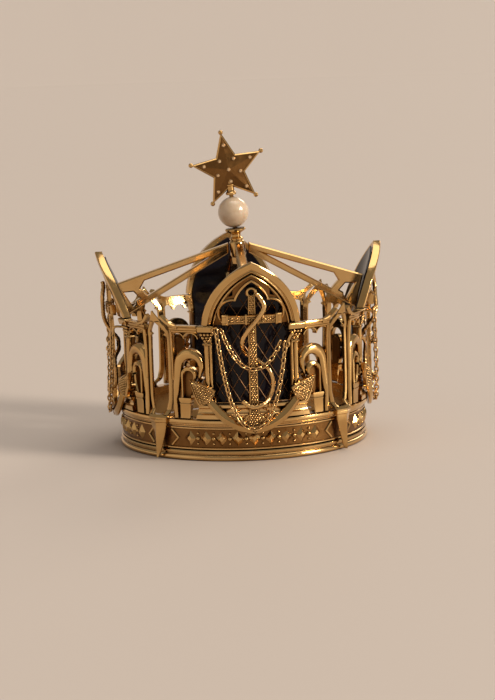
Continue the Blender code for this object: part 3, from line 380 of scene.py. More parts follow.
@dataclass
class Shell:
    """Closed surfaces while they are drawn, in millimetres, each face with the number of its finish."""

    points: list[Vector] = field(default_factory=list)
    faces: list[tuple[int, ...]] = field(default_factory=list)
    finishes: list[int] = field(default_factory=list)

    def skin(self, rings: Sequence[Sequence[Vector]], finishes: Sequence[int] = (),
             closed: bool = False) -> None:
        """Add a surface over rings of equally many points.

        Args:
            rings: Cross-sections in order.
            finishes: Number of the finish of each strip along the rings, or nothing for the first finish.
            closed: Join the last ring to the first; otherwise both ends are capped.
        """
        first, width = len(self.points), len(rings[0])
        for ring in rings:
            self.points.extend(Vector(p) for p in ring)
        strips = list(finishes) or [0] * width
        spans = len(rings) if closed else len(rings) - 1
        for i in range(spans):
            here, there = first + i * width, first + (i + 1) % len(rings) * width
            for j in range(width):
                k = (j + 1) % width
                self.faces.append((here + j, here + k, there + k, there + j))
                self.finishes.append(strips[j])
        if not closed:
            last = first + (len(rings) - 1) * width
            self.faces += [tuple(range(first, first + width)), tuple(range(last, last + width))]
            self.finishes += [0, 0]

    def ribbon(self, left: Sequence[Flat], right: Sequence[Flat], profile: Sequence[Flat],
               finishes: Sequence[int] = (), rise: Sequence[float] = (), closed: bool = False) -> None:
        """Add a moulding between two edges of equally many points.

        Args:
            left: The edge at -1 of the profile, as (s, z).
            right: The edge at +1.
            profile: The cross-section as (across, n), with across from -1 to 1.
            finishes: Number of the finish of each side of the profile.
            rise: How far out each cross-section is moved.
            closed: The moulding runs into its own start.
        """
        rings = []
        for index, ((ls, lz), (rs, rz)) in enumerate(zip(left, right)):
            lift = rise[index] if rise else 0.0
            rings.append([Vector(((ls + rs) / 2 + (rs - ls) / 2 * a, n + lift,
                                  (lz + rz) / 2 + (rz - lz) / 2 * a))
                          for a, n in profile])
        self.skin(rings, finishes, closed)

    def bar(self, path: Sequence[Flat], widths: Sequence[float] | float, profile: Sequence[Flat],
            finishes: Sequence[int] = (), rise: Sequence[float] = ()) -> None:
        """Add a moulding along a path, mitred at its corners.

        Args:
            path: The middle of the moulding, as (s, z).
            widths: Its half width, the same all along or one for each point.
            profile: The cross-section as (across, n); a positive across is left of the way the path runs.
            finishes: Number of the finish of each side of the profile.
            rise: How far out each cross-section is moved.
        """
        spots = [Vector(p) for p in path]
        halves = [widths] * len(spots) if isinstance(widths, (int, float)) else list(widths)
        left, right = [], []
        for i, spot in enumerate(spots):
            before = (spot - spots[i - 1]).normalized() if i else (spots[1] - spot).normalized()
            after = (spots[i + 1] - spot).normalized() if i < len(spots) - 1 else before
            along = (before + after).normalized()
            side = Vector((-along.y, along.x)) * (halves[i] / max(along.dot(after), 0.45))
            left.append(tuple(spot - side))
            right.append(tuple(spot + side))
        self.ribbon(left, right, profile, finishes, rise)

    def stack(self, levels: Sequence[tuple[float, float, float, float]], back: float, corner: float,
              finishes: Sequence[int] = ()) -> None:
        """Add a block of level courses, such as a capital or a base.

        Args:
            levels: Height, least s, greatest s and front of each course.
            back: The block's back.
            corner: How far its front corners are cut off.
            finishes: Number of the finish of each of its six sides.
        """
        rings = []
        for z, low, high, front in levels:
            outline = ((low, back), (low, front - corner), (low + corner, front), (high - corner, front),
                       (high, front - corner), (high, back))
            rings.append([Vector((s, n, z)) for s, n in outline])
        self.skin(rings, finishes)

    def post(self, s: float, n: float, levels: Sequence[Flat], sides: int = 14) -> None:
        """Add an upright turned post at (s, n) from its (radius, z) levels."""
        turns = [2 * math.pi * i / sides for i in range(sides)]
        self.skin([[Vector((s + r * math.cos(t), n + r * math.sin(t), z)) for t in turns] for r, z in levels])

    def turned(self, profile: Sequence[Flat], steps: int, finishes: Sequence[int] = ()) -> None:
        """Add a solid turned about the upright axis, in x, y and z, from a closed (radius, z) profile."""
        turns = [2 * math.pi * i / steps for i in range(steps)]
        self.skin([[Vector((r * math.cos(t), r * math.sin(t), z)) for r, z in profile] for t in turns],
                  finishes, closed=True)

    def cord(self, path: Sequence[Sequence[float]], radius: float, sides: int = 10, strands: int = 0,
             lay_mm: float = 6.0, closed: bool = False) -> None:
        """Add a round bar along a path in space, or a laid rope.

        Args:
            path: Points as (s, n, z).
            radius: The bar's radius.
            sides: How many sides it has.
            strands: How many strands are laid into it; none leaves it plain.
            lay_mm: Length of one full turn of the lay.
            closed: The path runs into its own start.
        """
        spots = [Vector(p) for p in path]
        total = len(spots)
        side, rings, run = None, [], 0.0
        for i, spot in enumerate(spots):
            ahead = spots[(i + 1) % total] if closed or i < total - 1 else spot
            behind = spots[i - 1] if closed or i else spot
            along = (ahead - behind).normalized()
            if side is None:
                side = along.orthogonal().normalized()
            side = (side - along * side.dot(along)).normalized()
            up = along.cross(side)
            if i:
                run += (spot - spots[i - 1]).length
            ring = []
            for k in range(sides):
                turn = 2 * math.pi * k / sides
                depth = 1.0
                if strands:
                    depth = 0.80 + 0.20 * abs(math.cos(strands / 2 * (turn - 2 * math.pi * run / lay_mm)))
                ring.append(spot + (side * math.cos(turn) + up * math.sin(turn)) * radius * depth)
            rings.append(ring)
        self.skin(rings, closed=closed)

    def plate(self, loops: Sequence[Sequence[Flat]], back: float, front: float, corner: float,
              slice_mm: float = 2.5, finish: int = 0) -> None:
        """Add a flat outline with its holes, with its edges cut off at 45 degrees.

        Args:
            loops: The outline and the holes, as (s, z).
            back: The plate's back.
            front: Its front.
            corner: How far the edges are cut off.
            slice_mm: Greatest width of a face along s, so that the plate can follow the wall.
            finish: Number of its finish.
        """
        curve = bpy.data.curves.new("outline", "CURVE")
        curve.dimensions = "2D"
        curve.fill_mode = "BOTH"
        curve.extrude = (front - back) / 2 - corner
        curve.bevel_depth = corner
        curve.bevel_resolution = 0
        curve.offset = -corner
        for loop in loops:
            spline = curve.splines.new("POLY")
            spline.points.add(len(loop) - 1)
            for point, (s, z) in zip(spline.points, loop):
                point.co = (s, z, 0.0, 1.0)
            spline.use_cyclic_u = True
        scratch = bpy.data.objects.new("outline", curve)
        bpy.context.scene.collection.objects.link(scratch)
        mesh = plain_mesh(scratch)
        bpy.data.objects.remove(scratch)
        edit = bmesh.new()
        edit.from_mesh(mesh)
        bmesh.ops.remove_doubles(edit, verts=edit.verts, dist=1e-4)
        spread = [v.co.x for v in edit.verts]
        for i in range(math.ceil(min(spread) / slice_mm), math.floor(max(spread) / slice_mm) + 1):
            bmesh.ops.bisect_plane(edit, geom=edit.verts[:] + edit.edges[:] + edit.faces[:], dist=1e-3,
                                   plane_co=(i * slice_mm, 0, 0), plane_no=(1, 0, 0))
        bmesh.ops.bisect_plane(edit, geom=edit.verts[:] + edit.edges[:] + edit.faces[:], dist=1e-3,
                               plane_co=(0, WALL.bend_z, 0), plane_no=(0, 1, 0))
        edit.verts.index_update()
        first = len(self.points)
        self.points.extend(Vector((v.co.x, (front + back) / 2 + v.co.z, v.co.y)) for v in edit.verts)
        for face in edit.faces:
            self.faces.append(tuple(first + v.index for v in face.verts))
            self.finishes.append(finish)
        edit.free()

    def moved(self, change: Callable[[Vector], Vector]) -> "Shell":
        """A copy with every point changed."""
        return Shell([change(p) for p in self.points], list(self.faces), list(self.finishes))

    def add(self, other: "Shell") -> None:
        """Take in another shell's surfaces."""
        first = len(self.points)
        self.points.extend(other.points)
        self.faces.extend(tuple(first + i for i in face) for face in other.faces)
        self.finishes.extend(other.finishes)


def plain_mesh(obj: bpy.types.Object) -> bpy.types.Mesh:
    """The object's shape as a plain mesh, with its modifiers worked in."""
    bpy.context.view_layer.update()
    depsgraph = bpy.context.evaluated_depsgraph_get()
    return bpy.data.meshes.new_from_object(obj.evaluated_get(depsgraph), depsgraph=depsgraph)


# ---------------------------------------------------------------- the wall

@dataclass(frozen=True)
class Wall:
    """The crown's wall: upright to the capitals and flaring out to the arches' tips."""

    radius: float = 51.8
    flare: float = 8.2
    wrap: float = 53.0
    bend_z: float = 49.0
    spring_z: float = 55.0
    arch_half: float = 20.5
    arch_rise: float = 25.8
    arch_radius: float = 36.0
    anchor_back: float = 52.9
    anchor_flare: float = 0.06

    @property
    def corner_s(self) -> float:
        """Distance along the wall from a window's middle to a corner."""
        return math.radians(45) * self.wrap

    def face(self, z: float) -> float:
        """Radius of the wall's face at a height."""
        slope = self.flare / (self.spring_z + self.arch_rise - self.bend_z)
        return self.radius + slope * max(z - self.bend_z, 0.0)

    def anchor_face(self, z: float) -> float:
        """Radius of an anchor's back at a height."""
        return self.anchor_back + self.anchor_flare * max(z - self.bend_z, 0.0)

    def placing(self, turn_deg: float, anchor: bool = False) -> Placing:
        """How a flat point is wrapped round the crown.

        Args:
            turn_deg: The side of the crown.
            anchor: Follow the anchors' radius instead of the wall's face.

        Returns:
            A function from a flat point in millimetres to the crown's frame in metres.
        """
        radius_at = self.anchor_face if anchor else self.face

        def place(point: Vector) -> Vector:
            """Wrap one point."""
            angle = point.x / self.wrap + math.radians(turn_deg)
            radius = radius_at(point.z) + point.y
            return Vector((radius * math.sin(angle), -radius * math.cos(angle), point.z)) * MM

        return place

    def arch(self, inset: float, steps: int) -> list[Flat]:
        """Right half of a window's pointed arch, from springing to point, inset from the outer edge."""
        chord = Vector((-self.arch_half, self.arch_rise))
        inward = Vector((-chord.y, chord.x)).normalized()
        centre = Vector((self.arch_half, self.spring_z)) + chord / 2
        centre += inward * math.sqrt(self.arch_radius ** 2 - (chord.length / 2) ** 2)
        radius = self.arch_radius - inset
        start = math.degrees(math.asin((self.spring_z - centre.y) / radius))
        end = math.degrees(math.acos(-centre.x / radius))
        return arc(tuple(centre), radius, start, end, steps)


WALL = Wall()
WINDOWS = {"front": 0.0, "right": 90.0, "back": 180.0, "left": 270.0}
CORNERS = {"front_right": 45.0, "back_right": 135.0, "back_left": 225.0, "front_left": 315.0}


def turned_about(turn_deg: float) -> Placing:
    """Placing of a piece drawn in the crown's own frame, turned about its axis."""
    turn = Matrix.Rotation(math.radians(turn_deg), 3, "Z")

    def place(point: Vector) -> Vector:
        """Turn one point."""
        return turn @ point * MM

    return place


# ---------------------------------------------------------------- workshop

class Workshop:
    """Turns shells into finished pieces, dresses them and sets them on their bodies."""

    def __init__(self) -> None:
        """Start with no finish mixed."""
        self.mixed: dict[str, bpy.types.Material] = {}

    def finish(self, wanted: Finish) -> bpy.types.Material:
        """The material of a finish, built on first use."""
        if wanted.name not in self.mixed:
            self.mixed[wanted.name] = wanted.build()
        return self.mixed[wanted.name]

    def piece(self, name: str, shell: Shell, placing: Placing, finishes: Sequence[Finish],
              node: str, stands_for: bool = True, sharp_deg: float = 32.0) -> bpy.types.Object:
        """Make one piece and set it on the body of a CAD node.

        Args:
            name: The piece's name.
            shell: Its surfaces.
            placing: Where its points go.
            finishes: Its finishes, in the order of the shell's numbers.
            node: The CAD node whose body it rides on.
            stands_for: The piece replaces that node.
            sharp_deg: Edges sharper than this stay crisp.

        Returns:
            The finished object.
        """
        mesh = bpy.data.meshes.new(name)
        mesh.from_pydata([placing(p) for p in shell.points], [], shell.faces)
        mesh.polygons.foreach_set("material_index", shell.finishes)
        for wanted in finishes:
            mesh.materials.append(self.finish(wanted))
        edit = bmesh.new()
        edit.from_mesh(mesh)
        bmesh.ops.remove_doubles(edit, verts=edit.verts, dist=0.002 * MM)
        bmesh.ops.dissolve_degenerate(edit, edges=edit.edges, dist=0.001 * MM)
        bmesh.ops.recalc_face_normals(edit, faces=edit.faces)
        edit.to_mesh(mesh)
        edit.free()
        obj = bpy.data.objects.new(name, mesh)
        bpy.context.scene.collection.objects.link(obj)
        return self.settle(obj, node, stands_for, sharp_deg)

    def settle(self, obj: bpy.types.Object, node: str, stands_for: bool,
               sharp_deg: float) -> bpy.types.Object:
        """Smooth a piece, set it on its body and report it.

        Args:
            obj: The piece.
            node: The CAD node whose body it rides on.
            stands_for: The piece replaces that node.
            sharp_deg: Edges sharper than this stay crisp.

        Returns:
            The same object.
        """
        obj.data.shade_smooth()
        obj.data.set_sharp_from_angle(angle=math.radians(sharp_deg))
        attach(obj, frame["nodes"][node]["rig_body"])
        if stands_for:
            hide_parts(node)
        LOG.info("%s: %d faces", obj.name, len(obj.data.polygons))
        return obj

    def scattered(self, name: str, spots: Sequence[Vector], turns: Sequence[Vector], tree: bpy.types.NodeTree,
                  values: dict[str, object], node: str, edges: bool = False, stands_for: bool = False,
                  sharp_deg: float = 32.0) -> bpy.types.Object:
        """Make a piece that a Geometry Nodes tree repeats on spots or along a path.

        Args:
            name: The piece's name.
            spots: Places in the crown's frame, in metres.
            turns: The Euler turn of the unit at each spot.
            tree: The tree.
            values: What goes into the tree's named inputs.
            node: The CAD node whose body the piece rides on.
            edges: Join the spots into a path.
            stands_for: The piece replaces that node.
            sharp_deg: Edges sharper than this stay crisp.

        Returns:
            The finished object.
        """
        mesh = bpy.data.meshes.new(name)
        mesh.from_pydata(spots, [(i, i + 1) for i in range(len(spots) - 1)] if edges else [], [])
        if turns:
            held = mesh.attributes.new("turn", "FLOAT_VECTOR", "POINT")
            held.data.foreach_set("vector", [value for turn in turns for value in turn])
        obj = bpy.data.objects.new(name, mesh)
        bpy.context.scene.collection.objects.link(obj)
        modifier = obj.modifiers.new("repeat", "NODES")
        modifier.node_group = tree
        for item in tree.interface.items_tree:
            if item.in_out == "INPUT" and item.name in values:
                modifier[item.identifier] = values[item.name]
        made = plain_mesh(obj)
        obj.modifiers.clear()
        obj.data = made
        made.name = name
        return self.settle(obj, node, stands_for, sharp_deg)

    def dress(self, node: str, finish: Finish) -> None:
        """Give a carried-over CAD node its finish."""
        mesh = frame["nodes"][node].data
        mesh.materials.clear()
        mesh.materials.append(self.finish(finish))


class Unit(Enum):
    """What a tree of studs repeats: the number of sides and the share of the foot that the flat top keeps."""

    PELLET = (0, 0.0)
    LOZENGE = (4, 0.35)
    STONE = (8, 0.55)


def new_tree(name: str, inputs: Sequence[tuple[str, str]]) -> tuple[bpy.types.NodeTree, bpy.types.Node]:
    """Start a Geometry Nodes tree.

    Args:
        name: The tree's name.
        inputs: Name and socket type of each input.

    Returns:
        The tree and its input node.
    """
    tree = bpy.data.node_groups.new(name, "GeometryNodeTree")
    for label, kind in (("Geometry", "NodeSocketGeometry"), *inputs):
        tree.interface.new_socket(label, in_out="INPUT", socket_type=kind)
    tree.interface.new_socket("Geometry", in_out="OUTPUT", socket_type="NodeSocketGeometry")
    return tree, add_node(tree, "NodeGroupInput")


def end_tree(tree: bpy.types.NodeTree, instances: bpy.types.NodeSocket, finish: bpy.types.NodeSocket) -> None:
    """Realize a tree's instances and dress them."""
    real = add_node(tree, "GeometryNodeRealizeInstances", {0: instances})
    dressed = add_node(tree, "GeometryNodeSetMaterial", {"Geometry": real.outputs[0], "Material": finish})
    add_node(tree, "NodeGroupOutput", {0: dressed.outputs[0]})


def stud_tree(unit: Unit) -> bpy.types.NodeTree:
    """A tree that sets a stud on each spot, with its own z pointing out of the surface.

    Args:
        unit: Which stud.

    Returns:
        The tree, with the inputs Size and Finish.
    """
    sockets = (("Size", "NodeSocketVector"), ("Finish", "NodeSocketMaterial"))
    tree, enter = new_tree(f"{unit.name.lower()} studs", sockets)
    sides, top = unit.value
    if unit is Unit.PELLET:
        form = add_node(tree, "GeometryNodeMeshIcoSphere", {"Radius": 1.0, "Subdivisions": 2})
    else:
        form = add_node(tree, "GeometryNodeMeshCone", {
            "Vertices": sides, "Radius Top": top, "Radius Bottom": 1.0, "Depth": 1.0}, fill_type="NGON")
    turn = add_node(tree, "GeometryNodeInputNamedAttribute", {"Name": "turn"}, data_type="FLOAT_VECTOR")
    spread = add_node(tree, "GeometryNodeInstanceOnPoints", {
        "Points": enter.outputs["Geometry"], "Instance": form.outputs["Mesh"],
        "Rotation": turn.outputs["Attribute"], "Scale": enter.outputs["Size"]})
    end_tree(tree, spread.outputs[0], enter.outputs["Finish"])
    return tree


def chain_tree() -> bpy.types.NodeTree:
    """A tree that threads oval links on a path, each turned a quarter from the last."""
    tree, enter = new_tree("oval chain links", (
        ("Pitch", "NodeSocketFloat"), ("Half Length", "NodeSocketFloat"), ("Half Width", "NodeSocketFloat"),
        ("Wire", "NodeSocketFloat"), ("Finish", "NodeSocketMaterial")))
    path = add_node(tree, "GeometryNodeMeshToCurve", {"Mesh": enter.outputs["Geometry"]})
    spaced = add_node(tree, "GeometryNodeResampleCurve", {
        "Curve": path.outputs[0], "Length": enter.outputs["Pitch"]}, mode="LENGTH")
    oval = add_node(tree, "GeometryNodeCurvePrimitiveCircle", {"Resolution": 16, "Radius": 1.0})
    span = add_node(tree, "ShaderNodeCombineXYZ", {
        0: enter.outputs["Half Length"], 1: enter.outputs["Half Width"], 2: 1.0})
    sized = add_node(tree, "GeometryNodeTransform", {"Geometry": oval.outputs[0], "Scale": span.outputs[0]})
    wire = add_node(tree, "GeometryNodeCurvePrimitiveCircle",
                    {"Resolution": 7, "Radius": enter.outputs["Wire"]})
    link = add_node(tree, "GeometryNodeCurveToMesh",
                    {"Curve": sized.outputs[0], "Profile Curve": wire.outputs[0]})
    tangent = add_node(tree, "GeometryNodeInputTangent")
    facing = add_node(tree, "FunctionNodeAlignRotationToVector", {"Vector": tangent.outputs[0]}, axis="X")
    index = add_node(tree, "GeometryNodeInputIndex")
    parity = add_node(tree, "ShaderNodeMath", {0: index.outputs[0], 1: 2.0}, operation="MODULO")
    quarter = add_node(tree, "ShaderNodeMath", {0: parity.outputs[0], 1: math.pi / 2}, operation="MULTIPLY")
    eighth = add_node(tree, "ShaderNodeMath", {0: quarter.outputs[0], 1: math.pi / 4}, operation="SUBTRACT")
    roll = add_node(tree, "ShaderNodeCombineXYZ", {0: eighth.outputs[0]})
    rolled = add_node(tree, "FunctionNodeRotateRotation", {
        0: facing.outputs[0], 1: roll.outputs[0]}, rotation_space="LOCAL")
    threaded = add_node(tree, "GeometryNodeInstanceOnPoints", {
        "Points": spaced.outputs[0], "Instance": link.outputs[0], "Rotation": rolled.outputs[0]})
    end_tree(tree, threaded.outputs[0], enter.outputs["Finish"])
    return tree


# ---------------------------------------------------------------- hoop

@dataclass
class Hoop:
    """Lower rim, ornamented band and upper flange."""

    steps: int = 192
    inner: float = 47.2
    rim: tuple[Flat, ...] = ((51.3, 0.0), (51.75, 0.15), (52.0, 0.6), (52.05, 1.2), (51.9, 1.8), (51.5, 2.25),
                             (51.05, 2.4), (51.05, 2.75), (51.35, 2.85), (51.55, 3.2), (51.55, 3.7),
                             (51.3, 4.05), (50.8, 4.2))
    band: tuple[Flat, ...] = ((49.0, 4.5), (51.0, 4.5), (51.15, 4.65), (51.15, 5.1), (51.0, 5.25),
                              (50.6, 5.4), (50.6, 12.6), (51.0, 12.75), (51.15, 12.9), (51.15, 13.35),
                              (51.0, 13.5), (49.0, 13.5))
    flange: tuple[Flat, ...] = ((51.2, 13.8), (51.3, 14.2), (51.65, 14.55), (51.95, 14.65), (51.95, 14.95),
                                (52.25, 15.1), (52.5, 15.5), (52.55, 16.1), (52.4, 16.6), (52.0, 16.9),
                                (51.4, 17.0))
    lozenge_count: int = 9
    lozenge_pitch: float = 6.9
    ground: float = 50.6
    middle_z: float = 9.0

    def build(self, shop: Workshop) -> None:
        """Build the three rings and the band's ornament."""
        for name, profile, finishes in (
            ("lower_rim", ((self.inner, 0.0), *self.rim, (self.inner, 4.2)), ()),
            ("inscription_band", self.band, (0, 0, 0, 0, 1, 1, 1, 0, 0, 0, 0, 0)),
            ("upper_flange", ((self.inner, 13.8), *self.flange, (self.inner, 17.0)), ()),
        ):
            shell = Shell()
            shell.turned(profile, self.steps, finishes)
            # Finish 1, the matted brown, is painted shade on the band's sunk middle
            shop.piece(f"{name}_ring", shell, turned_about(0.0), (BURNISHED_GOLD, MATTED_GOLD_PAINTED_SHADE), name)
        self.ornament(shop)

    def ornament(self, shop: Workshop) -> None:
        """Set lozenges and pellets on the band's ground, between the keels' tips."""
        lozenges, pellets, small = [], [], []
        for side in WINDOWS.values():
            for i in range(self.lozenge_count):
                s = (i - (self.lozenge_count - 1) / 2) * self.lozenge_pitch
                lozenges.append(self.spot(s, 0.0, side))
                if i:
                    half = s - self.lozenge_pitch / 2
                    pellets.append(self.spot(half, 0.0, side))
                    small += [self.spot(half, dz, side) for dz in (-2.1, 2.1)]
        gold = shop.finish(POLISHED_GOLD)
        for name, spots, unit, size in (
            ("band_lozenges", lozenges, Unit.LOZENGE, (2.5, 3.1, 1.15)),
            ("band_pellets", pellets, Unit.PELLET, (0.95, 0.95, 0.95)),
            ("band_seed_pellets", small, Unit.PELLET, (0.6, 0.6, 0.7)),
        ):
            places, turns = zip(*spots)
            shop.scattered(name, places, turns, stud_tree(unit), {
                "Size": [value * MM for value in size], "Finish": gold}, "inscription_band")
        ends = Shell()
        for side in (-1, 1):
            path = [(side * 36.6, 12.2), (side * 33.4, 9.0), (side * 36.6, 5.8)]
            ends.bar(path, 0.45, ((-1, -0.1), (-1, 0.35), (-0.5, 0.6), (0.5, 0.6), (1, 0.35), (1, -0.1)))
        for window, turn in WINDOWS.items():
            shop.piece(f"band_chevrons_{window}", ends, ring_placing(self.ground, turn), (POLISHED_GOLD,),
                       "inscription_band", stands_for=False)

    def spot(self, s: float, dz: float, turn_deg: float) -> tuple[Vector, Vector]:
        """Place and turn of one stud on the band."""
        angle = s / WALL.wrap + math.radians(turn_deg)
        place = Vector((math.sin(angle) * self.ground, -math.cos(angle) * self.ground,
                        self.middle_z + dz)) * MM
        return place, Vector((math.pi / 2, 0.0, angle))


def ring_placing(radius: float, turn_deg: float) -> Placing:
    """Placing on an upright cylinder of a given radius."""

    def place(point: Vector) -> Vector:
        """Wrap one point."""
        angle = point.x / WALL.wrap + math.radians(turn_deg)
        return Vector(((radius + point.y) * math.sin(angle), -(radius + point.y) * math.cos(angle),
                       point.z)) * MM

    return place


# ---------------------------------------------------------------- windows

@dataclass
class Window:
    """One arched window: sill, columns, arch, trefoil and dark pane."""

    sill_half: float = 22.4
    sill_slant: float = 1.5
    sill_z: float = 17.3
    frame_z: float = 23.4
    back: float = -3.2
    face_width: float = 4.0
    steps: int = 26
    # Height and slope of the pane's diamonds, and half the width of their cames
    lattice_mm: float = 8.6
    lattice_slope: float = 1.5
    lattice_half: float = 0.16
    lobe_centre: Flat = (7.3, 60.0)
    lobe_radius: float = 5.6
    lobe_top_z: float = 73.2
    lobe_top_radius: float = 15.0
    # Height, inner edge, outer edge and front of each course
    capital: tuple[tuple[float, float, float, float], ...] = (
        (47.0, 16.9, 20.1, -0.3), (47.1, 16.5, 20.4, 0.05), (47.45, 16.35, 20.55, 0.25),
        (47.8, 16.5, 20.4, 0.05), (47.9, 16.9, 20.1, -0.6), (50.0, 16.7, 20.4, -0.6),
        (52.2, 16.2, 20.9, -0.5), (52.25, 15.5, 21.7, 0.3), (52.5, 15.1, 22.1, 0.75),
        (54.4, 15.0, 22.2, 0.85), (54.8, 15.2, 22.0, 0.6), (55.0, 15.4, 21.8, 0.3))
    # Place and height of each bead in a capital's three rows
    beads: tuple[Flat, ...] = ((16.3, 51.45), (17.75, 51.45), (19.2, 51.45), (20.65, 51.45), (17.0, 50.1),
                               (18.5, 50.1), (20.0, 50.1), (17.75, 48.85), (19.25, 48.85))
    base: tuple[tuple[float, float, float, float], ...] = (
        (23.4, 15.4, 21.8, 0.25), (24.7, 15.4, 21.8, 0.25), (24.9, 15.6, 21.6, 0.05),
        (25.1, 15.6, 21.6, 0.05), (25.2, 15.45, 21.75, 0.2), (25.7, 15.35, 21.8, 0.3),
        (26.1, 15.6, 21.6, 0.1), (26.3, 16.2, 20.8, -0.3), (26.6, 16.2, 20.8, -0.3), (26.7, 16.0, 21.0, -0.1),
        (27.1, 16.0, 21.0, -0.1), (27.3, 16.5, 20.5, -0.5), (27.8, 16.8, 20.1, -0.7))
    sill: tuple[Flat, ...] = ((-4.1, 17.3), (0.75, 17.3), (0.75, 18.9), (0.55, 19.2), (0.1, 19.5),
                              (-0.1, 20.0), (-0.1, 20.9), (0.1, 21.4), (0.6, 21.7), (0.75, 21.9),
                              (0.75, 22.8), (0.55, 23.1), (-4.1, 23.1))

    def build(self, shop: Workshop) -> None:
        """Build the four windows."""
        shapes = (
            ("sill", self.sill_shell(), (BURNISHED_GOLD,)),
            # The arch frame's webs and the trefoil's sunk web take the matted brown, which is painted shade
            ("arch_frame", self.frame_shell(), (POLISHED_GOLD, MATTED_GOLD_PAINTED_SHADE)),
            ("trefoil_tracery", self.tracery_shell(), (POLISHED_GOLD, MATTED_GOLD_PAINTED_SHADE)),
            ("window_backing", self.pane_shell(), (EnamelFinish(),)),
        )
        lattice = self.lattice_shell()
        beads = stud_tree(Unit.PELLET)
        for window, turn in WINDOWS.items():
            place = WALL.placing(turn)
            for name, shell, finishes in shapes:
                shop.piece(f"{name}_{window}_gold" if name != "window_backing" else f"pane_{window}",
                           shell, place, finishes, f"{name}_{window}")
            shop.piece(f"pane_lattice_{window}", lattice, place, (TARNISHED_GOLD,),
                       f"window_backing_{window}", False)
            spots, turns = self.bead_spots(place, turn)
            shop.scattered(f"capital_beads_{window}", spots, turns, beads, {
                "Size": [0.74 * MM] * 3, "Finish": shop.finish(POLISHED_GOLD)}, f"arch_frame_{window}")

    def bead_spots(self, place: Placing, turn_deg: float) -> tuple[list[Vector], list[Vector]]:
        """Places and turns of the row of beads in each capital."""
        both = [(side * s, z) for side in (-1, 1) for s, z in self.beads]
        spots = [place(Vector((s, -0.1, z))) for s, z in both]
        return spots, [Vector((math.pi / 2, 0.0, s / WALL.wrap + math.radians(turn_deg))) for s, _ in both]

    def sill_shell(self) -> Shell:
        """The moulded block under the window, with slanted ends."""
        shell, steps = Shell(), 28
        rings = []
        for i in range(steps + 1):
            share = 2 * i / steps - 1
            ring = []
            for n, z in self.sill:
                half = self.sill_half + self.sill_slant * (23.1 - z) / 5.8
                ring.append(Vector((share * half, n, z)))
            rings.append(ring)
        shell.skin(rings)
        return shell

    def frame_shell(self) -> Shell:
        """The pointed arch, the clustered columns, their capitals and their bases."""
        shell = Shell()
        half = WALL.arch(self.face_width / 2, self.steps)
        path = half + mirrored(half)[1:]
        profile = ((-2.0, self.back), (-2.0, -0.6), (-1.85, -0.3), (-1.5, -0.05), (0.35, 0.0), (0.6, -0.12),
                   (0.75, -0.45), (1.0, -0.55), (1.2, -0.4), (1.5, -0.25), (1.8, -0.4), (2.0, -0.75),
                   (2.0, self.back))
        shell.bar(path, 1.0, profile)
        for side in (-1, 1):
            web = [(z, 16.9, 20.0, -1.9) for z in (24.0, 36.0, 48.0, 49.0)]
            shell.add(mirror_if(side, lambda s: s.stack(web, self.back, 0.1, (1,) * 6)))
            shell.add(mirror_if(side, lambda s: s.stack(self.capital, self.back, 0.3)))
            shell.add(mirror_if(side, lambda s: s.stack(self.base, self.back, 0.3)))
            shell.post(side * 18.95, -1.05, [(1.1, 27.0), (1.12, 34.0), (1.08, 42.0), (1.05, 48.2)])
            shell.post(side * 17.2, -0.9, [(0.62, 27.0), (0.62, 37.0), (0.6, 48.2)], 12)
            for z in (28.2, 46.9):
                for s, n, r in ((18.95, -1.05, 1.3), (17.2, -0.9, 0.8)):
                    shell.post(side * s, n, [(r - 0.22, z - 0.3), (r, z - 0.12), (r, z + 0.12),
                                             (r - 0.22, z + 0.3)], 14)
        self.add_hooks(shell)
        return shell

    def add_hooks(self, shell: Shell) -> None:
        """Add the wire hooks and rings that the chains hang from."""
        for s, z, side in ((-13.6, 53.5, -1), (12.4, 47.0, 1)):
            out = 54.4 / math.cos(s / WALL.wrap) - WALL.face(z)
            root_z = max(z, 51.2)
            root = Vector((side * 16.4, -0.6, root_z))
            knee = Vector((side * 15.2, out * 0.8, root_z))
            tip = Vector((s + side * 0.9, out, z + 0.5))
            shell.cord(even(smooth([root, knee, tip], 6), 12), 0.5, 8)
            ring = [(s + side * 0.5 + 1.15 * math.cos(a), out, z + 1.15 * math.sin(a))
                    for a in (2 * math.pi * i / 18 for i in range(18))]
            shell.cord(ring, 0.36, 7, closed=True)

    def opening(self) -> list[Flat]:
        """Right half of the trefoil opening, from the springing up to its point."""
        foot_z = WALL.spring_z + 0.3
        start = math.degrees(math.asin((foot_z - self.lobe_centre[1]) / self.lobe_radius))
        lobe = arc(self.lobe_centre, self.lobe_radius, start, 100.0, 18)
        cusp, peak = Vector(lobe[-1]), Vector((0.0, self.lobe_top_z))
        chord = peak - cusp
        away = Vector((-chord.y, chord.x)).normalized()
        centre = (cusp + peak) / 2 + away * math.sqrt(self.lobe_top_radius ** 2 - (chord.length / 2) ** 2)
        begin = math.degrees(math.atan2(cusp.y - centre.y, cusp.x - centre.x))
        end = math.degrees(math.atan2(peak.y - centre.y, peak.x - centre.x))
        return lobe + arc(tuple(centre), self.lobe_top_radius, begin, end, 12)[1:]

